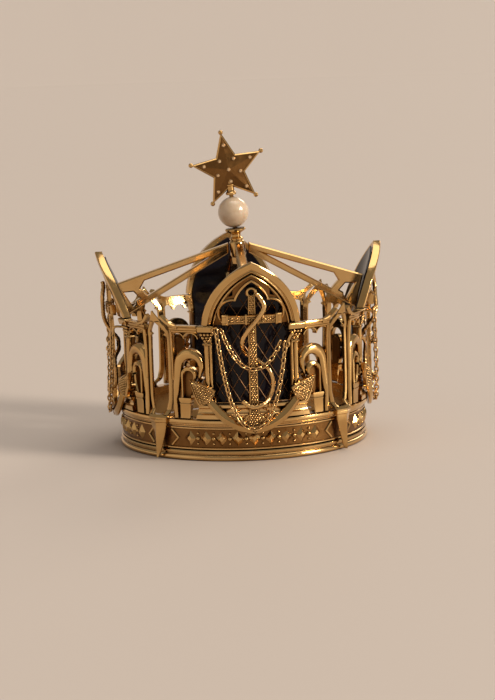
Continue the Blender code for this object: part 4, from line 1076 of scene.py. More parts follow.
    def tracery_shell(self) -> Shell:
        """The trefoil: a sunk web, with a roll along the opening and another inside the arch."""
        shell = Shell()
        edge = WALL.arch(4.3, 20)
        edge[0] = (edge[0][0], WALL.spring_z + 0.3)
        opening = self.opening()
        left = [(-s, z) for s, z in opening]
        loop = edge + mirrored(edge)[1:] + left + opening[::-1][1:]
        cusp = Vector(opening[18])
        base = cusp + Vector((0.8, 1.8))
        hole = [tuple(base), tuple(base + Vector((1.8, -0.4))), tuple(base + Vector((-0.1, 2.2)))]
        shell.plate([loop, hole, mirrored(hole)], -2.4, -1.35, 0.12, finish=1)
        roll = ((-1, -2.4), (-1, -1.3), (-0.7, -0.85), (0, -0.65), (0.7, -0.85), (1, -1.3), (1, -2.4))
        path = [(s, z) for s, z in opening] + mirrored(opening)[1:]
        shell.bar(path, 0.55, roll)
        inner = WALL.arch(4.85, 20)
        shell.bar(inner + mirrored(inner)[1:], 0.42, roll)
        return shell

    def pane_shell(self) -> Shell:
        """The dark plate behind the window."""
        shell = Shell()
        half = [(WALL.arch_half - 2.0, self.frame_z)] + WALL.arch(2.0, 12)
        shell.plate([half + mirrored(half)[1:]], -4.1, -3.5, 0.05)
        return shell

    def lattice_shell(self) -> Shell:
        """Fine wires in a diamond lattice over the pane."""
        shell = Shell()
        edge = WALL.arch(3.6, 30)
        came = ((-1, -3.5), (-1, -3.3), (0, -3.2), (1, -3.3), (1, -3.5))
        for lean in (-1, 1):
            for k in range(-4, 12):
                start = 24.6 + k * self.lattice_mm
                line = []
                for i in range(-48, 49):
                    s = i * 0.35
                    z = start + lean * self.lattice_slope * s
                    limit = 16.4 if z < WALL.spring_z else max((e[0] for e in edge if e[1] >= z),
                                                               default=-1.0)
                    if 23.8 < z and abs(s) < limit:
                        line.append((s, z))
                if len(line) > 4:
                    strip = line[::4] + line[-1:] if (len(line) - 1) % 4 else line[::4]
                    shell.bar(strip, self.lattice_half, came)
        return shell


def mirror_if(side: int, draw: Callable[[Shell], None]) -> Shell:
    """Draw a shell on the right side, and carry it over to the left one if side is -1."""
    shell = Shell()
    draw(shell)
    return shell if side > 0 else shell.moved(lambda p: Vector((-p.x, p.y, p.z)))


# ---------------------------------------------------------------- anchors

@dataclass
class Anchor:
    """An anchor with a rope that winds round it: beaded shank, palms and stock between polished edges."""

    arm: tuple[Flat, ...] = ((0.0, 14.0), (2.6, 14.2), (7.0, 15.4), (12.0, 18.4), (16.2, 22.8), (18.7, 26.2))
    palm_tip: Flat = (25.4, 33.4)
    # Share of a palm's length and its half width there
    palm: tuple[Flat, ...] = ((-0.24, 0.3), (-0.14, 2.6), (-0.05, 4.5), (0.08, 4.55), (0.26, 3.9),
                              (0.62, 2.1), (1.0, 0.1))
    eye_z: float = 68.4
    stock_z: float = 57.6
    stock_half: float = 11.3
    rope_radius: float = 0.95
    grain_radius: float = 0.5
    grain_pitch: float = 1.05
    # Height of a triangular row over the pitch, and how far each grain is turned past the last one
    grain_row: float = 0.87
    grain_turn: float = 0.7
    # Polished fillets on both edges and a sunk, beaded field between them
    fillet: tuple[Flat, ...] = ((-1, 0.0), (-1, 1.45), (-0.88, 1.75), (-0.7, 1.75), (-0.62, 1.45),
                                (-0.3, 1.6), (0.3, 1.6), (0.62, 1.45), (0.7, 1.75), (0.88, 1.75), (1, 1.45),
                                (1, 0.0))
    fillet_finish: tuple[int, ...] = (0, 0, 0, 0, 1, 1, 1, 0, 0, 0, 0, 0)
    ridge: tuple[Flat, ...] = ((-1, 0.1), (-1, 0.9), (-0.85, 1.15), (0, 2.0), (0.85, 1.15), (1, 0.9),
                               (1, 0.1))

    def build(self, shop: Workshop) -> None:
        """Build the four anchors, stocks and ropes."""
        anchor, stock, rope = self.anchor_shell(), self.stock_shell(), self.rope_shell()
        grains, tree = self.grain_spots(), stud_tree(Unit.PELLET)
        for window, turn in WINDOWS.items():
            place = WALL.placing(turn, anchor=True)
            shop.piece(f"anchor_{window}_gold", anchor, place, (POLISHED_GOLD, GRAINED_GOLD),
                       f"anchor_{window}")
            shop.piece(f"anchor_stock_{window}_gold", stock, place, (POLISHED_GOLD, GRAINED_GOLD),
                       f"anchor_stock_{window}")
            shop.piece(f"anchor_rope_{window}_gold", rope, place, (WIRE_GOLD,), f"anchor_rope_{window}",
                       sharp_deg=60.0)
            spots = [place(spot) for spot in grains]
            turns = [Vector((0.0, 0.0, i * self.grain_turn)) for i in range(len(spots))]
            values = {"Size": [self.grain_radius * MM] * 3, "Finish": shop.finish(POLISHED_GOLD)}
            shop.scattered(f"anchor_grains_{window}", spots, turns, tree, values, f"anchor_{window}")

    def grain_spots(self) -> list[Vector]:
        """Places of the raised grains on shank, crown, stock and palms, as (s, n, z)."""
        # Each field's middle line with its half width there, its level there and its drop to the edges
        fields = [
            (((0.0, 19.8, 1.25), (0.0, 55.2, 1.0)), 1.5, 0.0),
            (((0.0, 60.2, 0.95), (0.0, 66.4, 0.8)), 1.5, 0.0),
            (((0.0, 13.0, 0.9), (0.0, 14.4, 1.9), (0.0, 16.6, 2.7), (0.0, 19.0, 1.7)), 1.5, 0.0)]
        for start, stop, level in ((-8.8, -2.9, 2.1), (-1.7, 1.7, 2.45), (2.9, 8.8, 2.1)):
            fields.append((((start, self.stock_z, 1.0), (stop, self.stock_z, 1.0)), level, 0.0))
        for side in (-1, 1):
            base, tip = (Vector((side * s, z)) for s, z in (self.arm[-1], self.palm_tip))
            leaf = [(*base.lerp(tip, t), w * 0.7) for t, w in self.palm[2:-1]]
            fields.append((leaf, 2.2, 0.6))
        spots = []
        for line, level, drop in fields:
            run = (Vector(line[-1][:2]) - Vector(line[0][:2]))
            along = run.normalized()
            rows = max(1, round(run.length / (self.grain_pitch * self.grain_row)))
            for i, (s, z, half) in enumerate(even(line, rows)):
                shift = self.grain_pitch / 2 * (i % 2)
                reach = math.ceil(half / self.grain_pitch)
                for k in range(-reach, reach + 1):
                    across = k * self.grain_pitch + shift
                    if abs(across) <= half:
                        lower = drop * abs(across) / half
                        spots.append(Vector((s - along.y * across, level - lower, z + along.x * across)))
        return spots

    def anchor_shell(self) -> Shell:
        """Shank, crown, arms, palms and eye."""
        shell = Shell()
        shank = [(0.0, z) for z in (17.5, 24.0, 36.0, 49.0, 56.0, 62.0, 67.0)]
        shell.bar(shank, [2.15, 1.9, 1.75, 1.65, 1.6, 1.5, 1.35], self.fillet, self.fillet_finish)
        for side in (-1, 1):
            path = [(side * s, z) for s, z in smooth(self.arm, 5)]
            last = len(path) - 1
            shell.bar(path, [2.5 - 1.1 * i / last for i in range(last + 1)], self.ridge)
            self.add_palm(shell, side)
        crown = [(0.0, z) for z in (11.9, 12.6, 13.8, 15.2, 16.6, 18.0, 19.4)]
        shell.bar(crown, [0.15, 1.1, 2.5, 3.8, 4.5, 4.2, 2.4], self.fillet, self.fillet_finish)
        ring = [(1.65 * math.cos(a), 0.95, self.eye_z + 1.65 * math.sin(a))
                for a in (2 * math.pi * i / 24 for i in range(24))]
        shell.cord(ring, 0.62, 10, closed=True)
        return shell

    def add_palm(self, shell: Shell, side: int) -> None:
        """Add the leaf-shaped palm at the end of an arm.

        Args:
            shell: The anchor's shell.
            side: -1 for the left arm and 1 for the right one.
        """
        base, tip = (Vector((side * s, z)) for s, z in (self.arm[-1], self.palm_tip))
        across = Vector((base.y - tip.y, tip.x - base.x)).normalized()
        leaf = smooth(self.palm, 4)
        left = [tuple(base.lerp(tip, t) - across * w) for t, w in leaf]
        right = [tuple(base.lerp(tip, t) + across * w) for t, w in leaf]
        profile = ((-1, 0.15), (-1, 1.5), (-0.92, 1.85), (-0.82, 1.85), (-0.76, 1.6), (0, 2.3), (0.76, 1.6),
                   (0.82, 1.85), (0.92, 1.85), (1, 1.5), (1, 0.15))
        shell.ribbon(left, right, profile, (0, 0, 0, 0, 1, 1, 0, 0, 0, 0, 0))

    def stock_shell(self) -> Shell:
        """The cross-bar: polished collars at its ends and middle, and a beaded face between them."""
        shell = Shell()
        back = 2.05
        spans = ((-self.stock_half, -9.3, 2.1, 0.0, 2.7, 0), (-9.3, -2.1, 1.75, 0.0, 2.4, 1),
                 (-2.1, 2.1, 1.9, back, 2.75, 1), (2.1, 9.3, 1.75, 0.0, 2.4, 1),
                 (9.3, self.stock_half, 2.1, 0.0, 2.7, 0))
        for start, stop, half, rear, front, finish in spans:
            count = max(2, round((stop - start) / 1.5))
            path = [(start + (stop - start) * i / count, self.stock_z) for i in range(count + 1)]
            profile = ((-1, rear), (-1, front - 0.35), (-0.85, front), (-0.68, front), (-0.6, front - 0.25),
                       (0.6, front - 0.25), (0.68, front), (0.85, front), (1, front - 0.35), (1, rear))
            shell.bar(path, half, profile, (0, 0, 0, 0, finish, 0, 0, 0, 0, 0))
        for s in (-9.3, -2.3, 2.3, 9.3):
            path = [(s - 0.35, self.stock_z), (s + 0.35, self.stock_z)]
            shell.bar(path, 2.2, ((-1, 0.0), (-1, 2.5), (-0.8, 2.85), (0.8, 2.85), (1, 2.5), (1, 0.0)))
        return shell

    def rope_shell(self) -> Shell:
        """The cast rope from the eye over the stock, behind the shank and back to the foot."""
        rope = self.rope_radius
        beside, over_stock, over_shank, behind = 0.9, 3.0 + rope, 2.1 + rope, -0.3 - rope
        clear = 2.05 + rope
        route = ((1.6, over_shank, 68.2), (clear, over_shank, 66.4), (4.4, over_stock, 62.6),
                 (1.6, over_stock, 57.6), (-1.8, over_stock, 53.4), (-clear - 0.8, over_shank, 49.6),
                 (-clear - 0.9, beside, 46.2), (-clear + 0.4, behind, 43.6), (0.4, behind - 0.2, 41.6),
                 (clear, behind, 40.0), (6.4, beside, 36.8), (7.8, beside, 31.4), (6.4, beside, 26.2),
                 (clear, over_shank, 23.4), (-1.0, over_shank, 22.6), (-4.6, over_shank, 25.2))
        shell = Shell()
        shell.cord(even(smooth(route, 8), 150), rope, 12, strands=3, lay_mm=5.0)
        return shell


# ---------------------------------------------------------------- chains

@dataclass
class Swag:
    """Two chains of oval links across each window, hung from the capitals."""

    plane: float = 54.4
    left: Flat = (-13.6, 53.5)
    right: Flat = (12.4, 47.0)
    pitch: float = 2.15
    half_length: float = 1.45
    half_width: float = 0.82
    wire: float = 0.34

    def build(self, shop: Workshop) -> None:
        """Build the short and the long chain of each window."""
        tree = chain_tree()
        values = {"Pitch": self.pitch * MM, "Half Length": self.half_length * MM,
                  "Half Width": self.half_width * MM, "Wire": self.wire * MM,
                  "Finish": shop.finish(WIRE_GOLD)}
        for window, turn in WINDOWS.items():
            for name, inboard, length, lean in (("short", 2.3, 36.0, 6.0), ("long", 0.0, 82.0, 2.6)):
                path = self.path(inboard, length, lean, 60)
                spots = [turned_about(turn)(p) for p in path]
                shop.scattered(f"{name}_chain_{window}_links", spots, [], tree, values,
                               f"{name}_chain_{window}", edges=True, stands_for=True, sharp_deg=70.0)

    def ends(self, inboard: float) -> tuple[Vector, Vector]:
        """Both ends of a chain, moved in along the line between the two hooks."""
        places = []
        for s, z in (self.left, self.right):
            angle = s / WALL.wrap
            places.append(Vector((self.plane * math.tan(angle), -self.plane, z)))
        along = (places[1] - places[0]).normalized()
        return places[0] + along * inboard, places[1] - along * inboard

    def path(self, inboard: float, length: float, lean_deg: float, count: int) -> list[Vector]:
        """The hanging curve of a chain, leaning on the anchor.

        Args:
            inboard: How far its ends are moved in.
            length: The chain's length.
            lean_deg: How far it leans in.
            count: How many spans the curve has.

        Returns:
            Its points in the front window's frame.
        """
        left, right = self.ends(inboard)
        span, drop = right.x - left.x, right.z - left.z
        target = math.sqrt(length ** 2 - drop ** 2)
        low, high = span / 40, span * 10
        for _ in range(60):
            size = (low + high) / 2
            low, high = (size, high) if 2 * size * math.sinh(span / (2 * size)) > target else (low, size)
        middle = (left.x + right.x) / 2 - size * math.atanh(drop / length)
        base = left.z - size * math.cosh((left.x - middle) / size)
        start, finish = (math.sinh((end.x - middle) / size) for end in (left, right))
        pivot = (left + right) / 2
        lean = Matrix.Rotation(math.radians(-lean_deg), 3, right - left)
        points = []
        for i in range(count + 1):
            x = middle + size * math.asinh(start + (finish - start) * i / count)
            hung = Vector((x, left.y, base + size * math.cosh((x - middle) / size)))
            points.append(pivot + lean @ (hung - pivot))
        return points


# ---------------------------------------------------------------- corners

@dataclass
class Corner:
    """A ridged keel over each corner, and the openwork between it and the windows."""

    keel_top: float = 60.5
    keel_tip: float = 0.6
    keel_half: float = 6.4
    keel_bar: float = 1.9
    keel_ridge: float = 1.2
    keel_front: float = 2.0
    keel_thick: float = 1.1
    keel_setback: float = 2.8
    keel_step: float = 2.6
    # Below the sill the front's edges fall back by keel_drop, over the first keel_fade of height
    keel_drop: float = 1.1
    keel_fade: float = 4.0
    cusp_z: float = 50.6
    girdle_z: float = 15.8
    # Gap to the next piece, and where the window's shaft, capital and niche lie from its middle
    gap: float = 0.3
    shaft_edge: float = 20.0
    capital_edge: float = 22.2
    niche_middle: float = 27.1
    rail_z: float = 52.0
    hook_radius: float = 6.91
    hook_z: float = 38.6
    sill_z: float = 17.3
    outer_shape: tuple[Flat, ...] = ((0.0, 0.02), (0.14, 0.42), (0.27, 0.70), (0.34, 0.86), (0.45, 1.0),
                                     (0.80, 1.0), (0.88, 0.76), (0.94, 0.38), (1.0, 0.02))
    slot_shape: tuple[Flat, ...] = ((0.295, 0.55), (0.36, 0.85), (0.45, 1.0), (0.80, 1.0), (0.87, 0.68),
                                    (0.925, 0.02))
    domed: tuple[Flat, ...] = ((-1, -2.4), (-1, -0.7), (-0.85, -0.25), (-0.5, 0.25), (0, 0.45), (0.5, 0.25),
                               (0.85, -0.25), (1, -0.7), (1, -2.4))

    def build(self, shop: Workshop) -> None:
        """Build the four keels and the eight grilles."""
        keel, grille = self.keel_shell(), self.grille_shell()
        left = grille.moved(lambda p: Vector((-p.x, p.y, p.z)))
        for corner, turn in CORNERS.items():
            place = WALL.placing(turn)
            shop.piece(f"keel_{corner}_gold", keel, place, (POLISHED_GOLD,), f"keel_{corner}", sharp_deg=24.0)
            for letter, shell in (("a", left), ("b", grille)):
                # The grilles' sunk faces and the niche's hollow take the matted brown, which is painted shade
                shop.piece(f"grille_{corner}_{letter}_gold", shell, place, (POLISHED_GOLD, MATTED_GOLD_PAINTED_SHADE),
                           f"grille_{corner}_{letter}")

    def width_at(self, shape: Sequence[Flat], size: float, z: float) -> float:
        """Half width of a lancet at a height, or 0 outside it."""
        share = (z - self.keel_tip) / (self.keel_top - self.keel_tip)
        curve = smooth(shape, 6)
        if not curve[0][0] <= share <= curve[-1][0]:
            return 0.0
        for (t0, w0), (t1, w1) in zip(curve, curve[1:]):
            if t0 <= share <= t1:
                return max(0.05, size * (w0 + (w1 - w0) * (share - t0) / (t1 - t0)))
        return 0.0

    def front(self, s: float, z: float) -> float:
        """How far the ridged front stands out: it steps out over the flange and slopes to its edges."""
        share = min(1.0, max(0.0, (z - self.sill_z) / self.keel_step))
        ridge = self.keel_ridge * max(0.0, 1.0 - abs(s) / self.keel_half)
        return self.keel_front - self.keel_setback * share + ridge

    def keel_shell(self) -> Shell:
        """The ridged lancet, with a slim opening that ends in two cusps."""
        shell = Shell()
        height = self.keel_top - self.keel_tip
        slot_low = self.keel_tip + height * self.slot_shape[0][0]
        slot_high = self.keel_tip + height * self.slot_shape[-1][0]
        solids = ([self.keel_tip + (slot_low - self.keel_tip) * i / 16 for i in range(17)],
                  [slot_high + (self.keel_top - slot_high) * i / 10 for i in range(11)])
        thick = self.keel_thick
        for levels in solids:
            rings = []
            for z in levels:
                w = self.width_at(self.outer_shape, self.keel_half, z)
                cut = min(0.35, w * 0.4)
                low = self.keel_drop * min(1.0, max(0.0, (self.sill_z - z) / self.keel_fade))
                edge = self.front(w, z) - low
                inner = self.front(w - cut, z) - low * (w - cut) / max(w, 0.4)
                outline = ((-w, edge - thick * 0.6), (-w, edge - cut * 0.6), (-w + cut, inner),
                           (0.0, self.front(0.0, z)), (w - cut, inner), (w, edge - cut * 0.6),
                           (w, edge - thick * 0.6), (0.0, self.front(0.0, z) - thick))
                rings.append([Vector((s, n, z)) for s, n in outline])
            shell.skin(rings)
        bars = []
        for i in range(41):
            z = slot_low + (slot_high - slot_low) * i / 40
            outer = self.width_at(self.outer_shape, self.keel_half, z)
            inner = min(self.width_at(self.slot_shape, self.keel_half - self.keel_bar, z), outer - 0.4)
            cut = 0.3
            crest = self.front((inner + outer) / 2, z) + 0.45
            outline = ((inner, self.front(inner, z) - thick), (inner, self.front(inner, z) - 0.1),
                       (inner + cut, self.front(inner + cut, z) + 0.15), ((inner + outer) / 2, crest),
                       (outer - cut, self.front(outer - cut, z) + 0.15), (outer, self.front(outer, z) - 0.1),
                       (outer, self.front(outer, z) - thick))
            bars.append([Vector((s, n, z)) for s, n in outline])
        for side in (-1, 1):
            shell.skin([[Vector((side * p.x, p.y, p.z)) for p in ring] for ring in bars])
            edge = self.width_at(self.slot_shape, self.keel_half - self.keel_bar, self.cusp_z)
            cusp = [(side * (edge + out), self.cusp_z + up)
                    for out, up in ((0.5, -1.2), (-0.2, -0.6), (-1.3, 0.0), (-0.4, 0.8), (0.5, 1.6))]
            shell.plate([cusp if side > 0 else cusp[::-1]], -1.6, -0.4, 0.1)
        self.add_girdle(shell)
        return shell

    def add_girdle(self, shell: Shell) -> None:
        """Carry the flange's line across the keel's foot."""
        z = self.girdle_z
        w = self.width_at(self.outer_shape, self.keel_half, z)
        path = [(-w - 0.2, z), (0.0, z), (w + 0.2, z)]
        lift = [self.front(w, z) - 0.9, self.front(0.0, z), self.front(w, z) - 0.9]
        shell.bar(path, 0.85, ((-1, -0.9), (-1, 0.0), (-0.5, 0.5), (0.5, 0.5), (1, 0.0), (1, -0.9)), (), lift)

    def grille_shell(self) -> Shell:
        """The openwork on one side: rail, scallops, hooked arch, niche and its foot."""
        shell = Shell()
        end = WALL.corner_s - self.capital_edge - self.gap
        moulding = ((-1, -2.5), (-1, -0.1), (-0.8, 0.15), (-0.45, 0.15), (-0.3, -0.15), (0.3, -0.15),
                    (0.45, 0.2), (0.75, 0.4), (1, 0.2), (1, -2.5))
        near = self.keel_half + self.gap
        rail = [(near + (end - near) * i / 12, self.rail_z + 1.5) for i in range(13)]
        shell.bar(rail, 1.5, moulding)
        self.add_scallops(shell, end)
        shell.bar([(7.4, 32.6), (7.3, 42.0), (7.4, 52.4)], [0.7, 0.6, 0.8], self.domed)
        gable = smooth(((3.5, 58.3), (5.0, 56.7), (6.4, 55.6), (8.2, 54.8), (10.8, 54.1)), 5)
        shell.bar(gable, [0.9 - 0.2 * i / (len(gable) - 1) for i in range(len(gable))],
                  ((-1, -1.9), (-1, -0.1), (-0.6, 0.35), (0.6, 0.35), (1, -0.1), (1, -1.9)))
        self.add_hook(shell)
        self.add_niche(shell)
        return shell

    def add_scallops(self, shell: Shell, end: float) -> None:
        """Add the two scallops under the rail, which meet in a cusp."""
        start = self.keel_half + self.gap
        swell = (end - start) / 4
        for middle in (start + swell, end - swell):
            curve = arc((middle, 0.0), swell, 180.0, 0.0, 16)
            low = [(u, self.rail_z - 2.5 + rise * 2.5 / swell) for u, rise in curve]
            high = [(u, self.rail_z + 0.4) for u, _ in curve]
            shell.ribbon(low, high, ((-1, -2.3), (-1, -0.9), (-0.8, -0.7), (1, -0.7), (1, -2.3)),
                         (1, 1, 1, 1, 1))
            shell.bar([(u, z) for u, z in low], 0.42, ((-1, -2.3), (-1, -0.5), (-0.5, -0.1), (0.5, -0.1),
                                                       (1, -0.5), (1, -2.3)))

    def add_hook(self, shell: Shell) -> None:
        """Add the hooked arch, which swells over its top and curls to a point."""
        middle = WALL.corner_s - self.shaft_edge - self.gap - self.hook_radius
        leg = middle - self.hook_radius
        over = [(leg - 0.8, self.sill_z), (leg - 0.6, self.hook_z - 8.0)]
        over += arc((middle, self.hook_z), self.hook_radius, 180.0, -38.0, 36)
        under = [(leg + 1.8, self.sill_z), (leg + 1.6, self.hook_z - 14.0)]
        under += arc((middle + 0.8, self.hook_z - 1.4), self.hook_radius - 2.9, 180.0, -20.0, 30)
        under += [(middle + 4.2, self.hook_z - 4.8), (middle + 4.4, self.hook_z - 6.4)]
        outer, inner = even(over, 64), even(under, 64)
        shell.ribbon(outer, inner, self.domed)
        tip = [(middle + 6.0, self.hook_z - 4.6), (middle + 5.0, self.hook_z - 6.4),
               (middle + 3.2, self.hook_z - 7.6)]
        shell.bar(tip,
                  [0.9, 0.8, 0.1], ((-1, -2.2), (-1, -0.2), (0, 0.35), (1, -0.2), (1, -2.2)))

    def add_niche(self, shell: Shell) -> None:
        """Add the small niche under the hooked arch: a bright head, a hollow and the block below."""
        middle = WALL.corner_s - self.niche_middle
        centre = (middle - 0.1, self.hook_z - 4.2)
        head = [(centre[0] - 2.9, 25.4), (centre[0] - 2.9, centre[1] - 2.0)]
        head += arc(centre, 2.9, 180.0, -25.0, 20)
        widths = [0.55, 0.6] + [0.7 + 0.35 * math.sin(math.pi * i / 20) for i in range(21)]
        shell.bar(head, widths, ((-1, -2.3), (-1, -0.5), (-0.6, 0.0), (0, 0.2), (0.6, 0.0), (1, -0.5),
                                 (1, -2.3)))
        hollow = [(middle - 2.9, 25.2), (middle + 0.6, 25.2), (middle + 2.4, 31.0)]
        hollow += arc(centre, 2.7, -15.0, 180.0, 12)
        shell.plate([hollow], -2.5, -1.7, 0.05, finish=1)
        lip = smooth(((middle + 2.7, 32.4), (middle + 2.2, 29.4), (middle + 0.8, 26.0), (middle + 0.4, 25.2)),
                     5)
        shell.bar(lip, 0.5, ((-1, -2.3), (-1, -0.7), (0, -0.2), (1, -0.7), (1, -2.3)))
        foot = ((17.3, middle - 4.2, middle + 0.2, 0.2), (22.4, middle - 4.2, middle + 0.6, 0.25),
                (22.7, middle - 4.2, middle + 0.9, 0.4), (23.2, middle - 4.3, middle + 1.0, 0.5),
                (23.5, middle - 4.0, middle + 0.8, 0.3), (23.9, middle - 4.3, middle + 1.0, 0.45),
                (24.9, middle - 4.6, middle + 1.3, 0.6), (25.5, middle - 4.5, middle + 1.2, 0.5))
        shell.stack(foot, -2.4, 0.25)


# ---------------------------------------------------------------- ribs and finial

@dataclass
class Rib:
    """The openwork brackets from the windows up to the hub, drawn in radius and height."""

    half: float = 1.8
    corner: float = 0.55
    bar: float = 3.4
    top_z: float = 67.0
    bottom_z: float = 53.2
    hub_radius: float = 4.3
    hub_top: float = 82.36
    hub_bottom: float = 78.04
    slot_bar: float = 2.9
    slot_end: float = 7.2
    back: float = -4.4

    def build(self, shop: Workshop) -> None:
        """Build the four ribs."""
        shell = self.shell()
        for window, turn in WINDOWS.items():
            shop.piece(f"rib_{window}_gold", shell, turned_about(turn - 90.0), (BURNISHED_GOLD,),
                       f"rib_{window}")

    def shell(self) -> Shell:
        """One bracket, standing over the x axis."""
        foot, head = (WALL.face(z) + self.back for z in (self.bottom_z, self.top_z))
        outline = [(foot, self.bottom_z), (head, self.top_z), (self.hub_radius, self.hub_top),
                   (self.hub_radius, self.hub_bottom)]
        inner_foot, inner_head = foot - self.bar, head - self.bar
        small = [(inner_foot - 0.3, self.bottom_z + 4.0), (inner_head - 0.3, self.top_z - 3.6),
                 (inner_head - 4.2, self.top_z - 3.4), (inner_foot - 3.2, self.bottom_z + 7.6),
                 (inner_foot - 1.6, self.bottom_z + 6.6), (inner_foot - 1.4, self.bottom_z + 5.0)]
        point = self.hub_radius + self.slot_end
        slope = (self.hub_top - self.top_z) / (head - self.hub_radius)
        long = [(inner_foot - 6.6, self.bottom_z + 8.5), (inner_head - 7.2, self.top_z - 2.0)]
        long += [(r, self.hub_top - slope * (r - self.hub_radius) - self.slot_bar)
                 for r in (inner_head - 9.0, point)]
        shell = Shell()
        shell.plate([outline, small, long], -self.half, self.half, self.corner, slice_mm=60.0)
        return shell


@dataclass
class Finial:
    """Hub, pearl and star on an axis that leans a little to the left."""

    hub_z: float = 76.6
    lean_deg: float = 5.0
    hub_height: float = 12.0
    bore: float = 1.2
    pearl_radius: float = 6.4
    star_rise: float = 36.4
    star_turn_deg: float = 5.0
    star_radius: float = 15.6
    waist: float = 7.0
    rim: float = 0.7
    dome: float = 2.2
    tip_bead: float = 1.0
    # How far the stones on the arms and between the arms lie from the middle
    arm_stones: float = 10.2
    inner_stones: float = 5.0
    hub: tuple[Flat, ...] = ((2.7, 0.0), (3.1, 0.3), (3.3, 0.9), (3.3, 5.8), (3.0, 6.4), (2.6, 6.7),
                             (2.6, 7.0), (2.9, 7.2), (2.9, 7.6), (2.4, 7.9), (2.0, 8.4), (1.95, 9.2),
                             (2.3, 9.8), (3.0, 10.3), (3.9, 10.7), (4.3, 11.0), (4.35, 11.4), (4.1, 11.8),
                             (3.6, 12.0))

    @property
    def pearl_z(self) -> float:
        """Height of the pearl's middle over the hub's foot."""
        return self.hub_height + 0.3 + math.sqrt(self.pearl_radius ** 2 - self.bore ** 2)

    def leaning(self) -> Placing:
        """Placing of a piece drawn about the finial's own axis."""
        turn = Matrix.Rotation(math.radians(-self.lean_deg), 4, "Y")
        lean = Matrix.Translation((0.0, 0.0, self.hub_z)) @ turn

        def place(point: Vector) -> Vector:
            """Lean one point."""
            return lean @ point * MM

        return place

    def build(self, shop: Workshop) -> None:
        """Build the hub, the pearl and the star, and dress the nut and the pin."""
        place = self.leaning()
        hub = Shell()
        hub.turned(((self.bore, 0.0), *self.hub, (self.bore, self.hub_height)), 48)
        shop.piece("hub_gold", hub, place, (POLISHED_GOLD,), "hub")
        pearl = Shell()
        start = math.degrees(math.acos(self.bore / self.pearl_radius))
        pearl.turned(arc((0.0, self.pearl_z), self.pearl_radius, start, -start, 36), 64)
        shop.piece("pearl_nacre", pearl, place, (PearlFinish(),), "pearl", sharp_deg=60.0)
        star, stones = self.star_shell(), self.stone_spots()
        # The star's ridged field takes the matted brown, which is painted shade
        shop.piece("star_gold", star, place, (POLISHED_GOLD, MATTED_GOLD_PAINTED_SHADE), "star", sharp_deg=20.0)
        places, turns = zip(*[(place(spot), turn) for spot, turn in stones])
        shop.scattered("star_stones", places, turns, stud_tree(Unit.STONE), {
            "Size": [0.85 * MM, 0.85 * MM, 0.9 * MM], "Finish": shop.finish(StoneFinish())}, "star")
        for node in ("hub_nut", "star_pin"):
            shop.dress(node, POLISHED_GOLD)

    def star_matrix(self) -> Matrix:
        """Place of the star's own plane on the finial's axis."""
        turn = Matrix.Rotation(math.radians(-self.star_turn_deg), 4, "Y")
        return Matrix.Translation((0.0, 0.0, self.star_rise)) @ turn

    def star_shell(self) -> Shell:
        """The five-pointed star, with a raised border round a ridged field on both faces."""
        shell, place = Shell(), self.star_matrix()
        corners = []
        for i in range(10):
            angle = math.radians(90 + 36 * i)
            corners.append((math.cos(angle), math.sin(angle), self.waist if i % 2 else self.star_radius))
        # Scale of each ring of the star and how far it stands out from the middle plane
        courses = ((1.0, self.rim * 0.5), (0.975, self.rim), (0.93, self.rim + 0.3), (0.89, self.rim + 0.3),
                   (0.87, self.rim + 0.1))
        for face in (-1, 1):
            rings = [[place @ Vector((c * r * k, face * n, s * r * k)) for c, s, r in corners]
                     for k, n in courses]
            first = len(shell.points)
            for ring in rings:
                shell.points.extend(ring)
            for level in range(len(courses) - 1):
                for j in range(10):
                    a, b = first + level * 10 + j, first + level * 10 + (j + 1) % 10
                    shell.faces.append((a, b, b + 10, a + 10))
                    shell.finishes.append(0)
            peak = len(shell.points)
            shell.points.append(place @ Vector((0.0, face * self.dome, 0.0)))
            last = first + (len(courses) - 1) * 10
            for j in range(10):
                shell.faces.append((last + j, last + (j + 1) % 10, peak))
                shell.finishes.append(1)
        half = len(courses) * 10 + 1
        for j in range(10):
            k = (j + 1) % 10
            shell.faces.append((j, k, half + k, half + j))
            shell.finishes.append(0)
        for i in range(5):
            angle = math.radians(90 + 72 * i)
            spot = place @ Vector((self.star_radius * math.cos(angle), 0.0,
                                   self.star_radius * math.sin(angle)))
            profile = arc((0.0, 0.0), self.tip_bead, 90.0, -90.0, 10)
            bead = Shell()
            bead.turned(profile, 16)
            shell.add(bead.moved(lambda p: p + spot))
        socket = ((0.0, 25.9), (2.0, 25.9), (2.2, 26.1), (2.2, 26.8), (1.8, 27.2), (1.5, 27.8), (1.5, 29.4),
                  (1.8, 29.8), (1.8, 30.2), (1.3, 30.6), (1.3, 33.0), (0.0, 33.0))
        shell.turned(socket, 24)
        return shell

    def stone_spots(self) -> list[tuple[Vector, Vector]]:
        """Places and turns of the stones on both faces of the star."""
        place, spots = self.star_matrix(), []
        # One stone at the middle, one on each arm and one between each two arms, with the face's slope there
        flat = [(0.0, 0.0, 0.0)]
        flat += [(self.arm_stones, 90.0 + 72 * i, 0.11) for i in range(5)]
        flat += [(self.inner_stones, 126.0 + 72 * i, 0.2) for i in range(5)]
        for face in (-1, 1):
            for reach, turn_deg, slope in flat:
                angle = math.radians(turn_deg)
                level = 2.1 - slope * reach
                spot = Vector((reach * math.cos(angle), face * level, reach * math.sin(angle)))
                spots.append((place @ spot, Vector((-face * math.pi / 2, 0.0, 0.0))))
        return spots


# ---------------------------------------------------------------- studio

